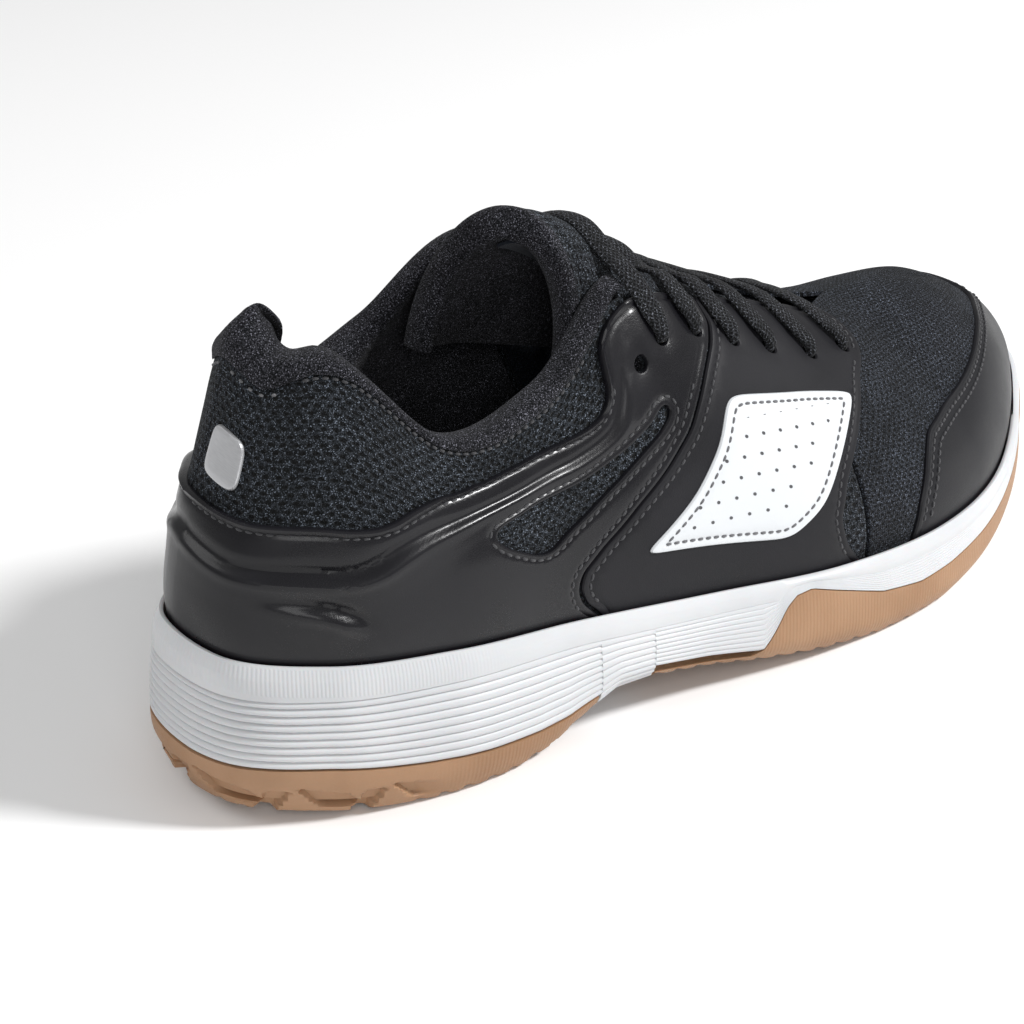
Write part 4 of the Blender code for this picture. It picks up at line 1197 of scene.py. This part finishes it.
# ------------------------------------------------------------------ tongue ---
# s, then x and z of the middle line
SPINE = ((0, 66, 64), (.2, 44, 71.5), (.4, 18, 83.5), (.6, -5, 96), (.74, -20, 107), (.87, -33, 116),
         (1, -43, 120.5))
# s, then half-width, droop, how far the edges lie back, and how much more the inner one does
SPREAD = ((0, 14, 8, 0, 0), (.2, 18, 14, 0, 0), (.4, 21, 22, 0, 0), (.6, 21, 27, -2, -2),
          (.74, 20, 31, -4, -5), (.87, 19.5, 34, -6, -8), (1, 18.5, 36, -7, -10))


TONGUE_LONG, TONGUE_HALF = 130, 30     # pattern mm for a whole s and a whole a


def tongue_at(s, a):
    c = spline([q[0] for q in SPINE], [q[1:] for q in SPINE], s)
    w = spline([q[0] for q in SPREAD], [q[1:] for q in SPREAD], s)
    f = a * np.pi / 2
    turn, reach = 1 - np.cos(f), np.sin(f)
    return np.stack([c[..., 0] + w[..., 2] * turn + w[..., 3] * reach, w[..., 0] * reach + .5,
                     c[..., 1] - w[..., 1] * turn], -1)


def tongue(s, a, d):
    """s 0 at the sewn base to 1 at the top edge, a -1 outer to 1 inner, depth d."""
    s, a, d = np.broadcast_arrays(*(np.asarray(q, float) for q in (s, a, d)))
    s0, s1 = np.clip(s - .02, 0, 1), np.clip(s + .02, 0, 1)
    n = unit(np.cross(tongue_at(s1, a) - tongue_at(s0, a), tongue_at(s, a + .02) - tongue_at(s, a - .02)))
    return tongue_at(s, a) + n * d[..., None] * np.sign(n[..., 2:].mean() + 1e-9)


def tongue_sheet(name, s0, s1, half, lo, hi, mat, stands_for, depth, ns=90, na=40):
    """Closed sheet of the tongue between depths lo and hi, both moved by depth(s, a)."""
    s, a = np.meshgrid(fine(s0, s1, ns), fine(-half, half, na), indexing="ij")
    move = depth(s, a)
    top, low = tongue(s, a, hi + move), tongue(s, a, lo + move)
    n, m = s.shape
    co = np.concatenate([top.reshape(-1, 3), low.reshape(-1, 3)])
    at = lambda i, j, k: k * n * m + i * m + j
    faces = quads(lambda j, i: at(i, j, 0), m, n) + quads(lambda i, j: at(i, j, 1), n, m)
    for j in (0, m - 1):
        faces += quads(lambda i, k: at(i, j, k), n, 2)
    for i in (0, n - 1):
        faces += quads(lambda k, j: at(i, j, k), 2, m)
    flat = np.stack([s * TONGUE_LONG, a * TONGUE_HALF], -1).reshape(-1, 2)
    uv = corners(faces, np.concatenate([flat, flat]))
    return make(name, co, faces, mat, stands_for, "tongue", uv)


def round_off(s, a, deep=2.4):
    """The two faces close towards each other along the edges."""
    x = np.clip((np.abs(a) - .8) / .2, 0, 1)
    return deep * (1 - np.sqrt(1 - .96 * x * x))


def swell(s, a):
    """Padding swells between the sewn centre and the edges."""
    return hump(a, 0, .55) * smooth(s, .35, .6)


def label_dip(s, a):
    return .5 * hump(s, .8, .12) * hump(a, 0, .6)


def soft_face(s, a):
    return .8 * swell(s, a) - round_off(s, a) - .35 * hump(s, .955, .008)


tongue_sheet("tongue_outer_knit", 0, 1, 1, -1.1, 0, "tongue", ("tongue_face",), soft_face)
pad = tongue_sheet("tongue_padding", .1, .99, .95, -4.9, -1.4, "foam", ("tongue_foam",),
                   lambda s, a: .3 * swell(s, a), 40, 24)
tongue_sheet("tongue_lining_cloth", 0, 1, 1, -6.3, -5.3, "lining", ("tongue_lining",),
             lambda s, a: round_off(s, a) - label_dip(s, a))
tongue_sheet("tongue_size_label", .56, .955, .27, -7.6, -6.75, "label", ("tongue_label",),
             lambda s, a: -label_dip(s, a), 40, 12)


# depth and height past the tongue's top edge, round the binding
BINDING = ((.4, -1.2), (.75, .2), (.5, 1.6), (-.8, 2.6), (-3.2, 2.9), (-5.5, 2.5), (-7.0, 1.4),
           (-7.25, .2), (-6.8, -1.0), (-3.2, -1.4))


def tongue_rim(a):
    e = unit(tongue(1, a, 0) - tongue(.985, a, 0))
    return np.stack([tongue(1, a, d) + e * h for d, h in BINDING], 1)


rings = closed_curve(tongue_rim(fine(-1, 1, 60)), 3)
tube("tongue_binding_roll", rings, "lining", ("tongue_binding",), "tongue")

# -------------------------------------------------------------------- lace ---
s_cloud, a_cloud = np.meshgrid(fine(.1, 1, 60), fine(-1, 1, 40), indexing="ij")
CLOUD = tongue(s_cloud, a_cloud, soft_face(s_cloud, a_cloud)).reshape(-1, 3)


def over_tongue(x, y):
    """Height of the tongue's face near (x, y)."""
    near = np.hypot(CLOUD[:, 0] - x, CLOUD[:, 1] - y) < 2
    return CLOUD[near, 2].max() if near.any() else -1e3


LACE_GAP = 1.15            # the lace's middle runs this high over the tongue
# half-width and half-thickness: flat in the open, easing at a hole, rounder inside it
LACE_WIDE, LACE_THICK = (3.2, 2.3, 1.45), (.85, 1.0, 1.2)


def lace_route():
    """Serpentine: over the throat from one hole to its partner, inside to the next.

    Gives the points, which of the three sections each has, and the way the flat side lies.
    """
    pts, kind, flat = [], [], []
    rows = HOLES[1:]
    side = -1
    lie = np.array([1., 0, 0])

    def put(p, k):
        pts.append(p)
        kind.append(k)
        flat.append(lie)
    put(skin(side, rows[0][0] - .020, rows[0][1] - .10, -4.0), 2)
    for i, (t, v) in enumerate(rows):
        at = {s: (t + (SHIFT if s > 0 else 0), v) for s in (-1, 1)}
        lie = unit(sum(skin(s, at[s][0] + .03, .95) - skin(s, at[s][0] - .03, .95) for s in (-1, 1)))
        rise = [(0, -4.0, 2), (0, -1.0, 2), (0, 1.6, 2), (.03, 2.5, 1), (.08, 2.4, 0)]
        rise += [(q, 2.3, 0) for q in (.13, .18) if v + q < .95]
        for q, d, k in rise:
            put(skin(side, at[side][0], v + q, d), k)
        a, b = (skin(s, at[s][0], 1, 1.9) for s in (side, -side))
        for w in (0, .2, .4, .6, .8, 1):
            p = a * (1 - w) + b * w
            bow = .3 * (1 - (2 * w - 1) ** 2)
            p[2] = max(p[2] + bow, over_tongue(p[0], p[1]) + LACE_GAP)
            put(p, 0)
        for q, d, k in rise[::-1]:
            put(skin(-side, at[-side][0], v + q, d), k)
        side = -side
        here = at[side]
        if i + 1 < len(rows):
            there = (rows[i + 1][0] + (SHIFT if side > 0 else 0), rows[i + 1][1])
            for w in (.33, .67):
                t, v = (p * (1 - w) + q * w for p, q in zip(here, there))
                put(skin(side, t, v, -4.3), 2)
    put(skin(side, here[0] - .015, here[1] - .09, -4.0), 2)
    return np.array(pts), np.array(kind, float), np.array(flat)


def braided(name, pts, kind, flat):
    """Flat braid where it shows, rounder where it passes through the holes."""
    length = lengths(pts)
    at = fine(0, length[-1], int(length[-1] / .9))
    p = spline(length, pts, at)
    k = np.interp(at, length, kind)
    wish = between(at, length, flat)
    way = unit(np.gradient(p, axis=0))
    wide = np.array([1., 0, 0])
    rings = []
    turn = np.arange(16) * np.pi / 8
    for i in range(len(p)):
        d = way[i]
        wide = unit(wide - d * np.dot(wide, d))
        want = wish[i] - d * np.dot(wish[i], d)
        if np.linalg.norm(want) > .4:
            want = unit(want)
            want = want if np.dot(want, wide) >= 0 else -want
            wide = unit(wide * .6 + want * .4)
        thick = np.cross(d, wide)
        w, h = (np.interp(k[i], (0, 1, 2), size) for size in (LACE_WIDE, LACE_THICK))
        square = np.sign(np.cos(turn)) * np.abs(np.cos(turn)) ** .8
        rings.append(p[i] + np.outer(square * w, wide) + np.outer(np.sin(turn) * h, thick))
    tube(name, np.array(rings), "lace", ("lace",), sharp=80)


braided("lace_braid_run", *lace_route())

# ------------------------------------------------------------------ studio ---
FLOOR_HALF, FLOOR_COLOUR = 6, (.96, .96, .96)
SKY = .36
# place, size and power: a small key from the toe's outer side, a wide fill behind the heel's
# inner side and a wide fill from the heel's outer side
LIGHTS = {"key": ((.72, -.78, 1.08), .26, 22), "rear": ((-.9, .7, 1.2), .9, 5),
          "front": ((-.8, -1.1, .8), .8, 5)}
AIM = (0, 0, .05)
AZIMUTH, ELEVATION = np.radians(-39.0), np.radians(28.1)
DISTANCE, LENS = .659, 93.2
TARGET = (-.0432, .0033, .040)


def place(name, data):
    ob = bpy.data.objects.new(name, data)
    bpy.context.scene.collection.objects.link(ob)
    return ob


def studio():
    g = Graph("pale_floor", Roughness=.8, Specular_IOR_Level=.2)
    g.finish(g.mix(g.noise(400, 2.0), [c * .995 for c in FLOOR_COLOUR], FLOOR_COLOUR))
    me = bpy.data.meshes.new("floor")
    me.from_pydata([(x * FLOOR_HALF, y * FLOOR_HALF, 0) for x, y in ((-1, -1), (1, -1), (1, 1), (-1, 1))],
                   [], [(0, 1, 2, 3)])
    me.materials.append(g.mat)
    floor = place("floor", me)
    world = bpy.data.worlds.new("studio")
    world.use_nodes = True
    sky = world.node_tree.nodes["Background"].inputs
    sky[0].default_value = (1, 1, 1, 1)
    sky[1].default_value = SKY
    bpy.context.scene.world = world
    for name, (at, size, power) in LIGHTS.items():
        light = bpy.data.lights.new(name, "AREA")
        light.shape = "DISK"
        light.size = size
        light.energy = power
        ob = place(name, light)
        ob.location = at
        ob.rotation_euler = (Vector(AIM) - ob.location).to_track_quat("-Z", "Y").to_euler()


def camera():
    level = np.cos(ELEVATION)
    back = Vector((np.sin(AZIMUTH) * level, -np.cos(AZIMUTH) * level, np.sin(ELEVATION)))
    cam = bpy.data.cameras.new("camera")
    cam.lens = LENS
    cam.sensor_width = 36
    ob = place("camera", cam)
    ob.location = Vector(TARGET) + back * DISTANCE
    ob.rotation_euler = back.to_track_quat("Z", "Y").to_euler()
    bpy.context.scene.camera = ob


studio()
camera()
bpy.context.scene.view_settings.view_transform = "Standard"
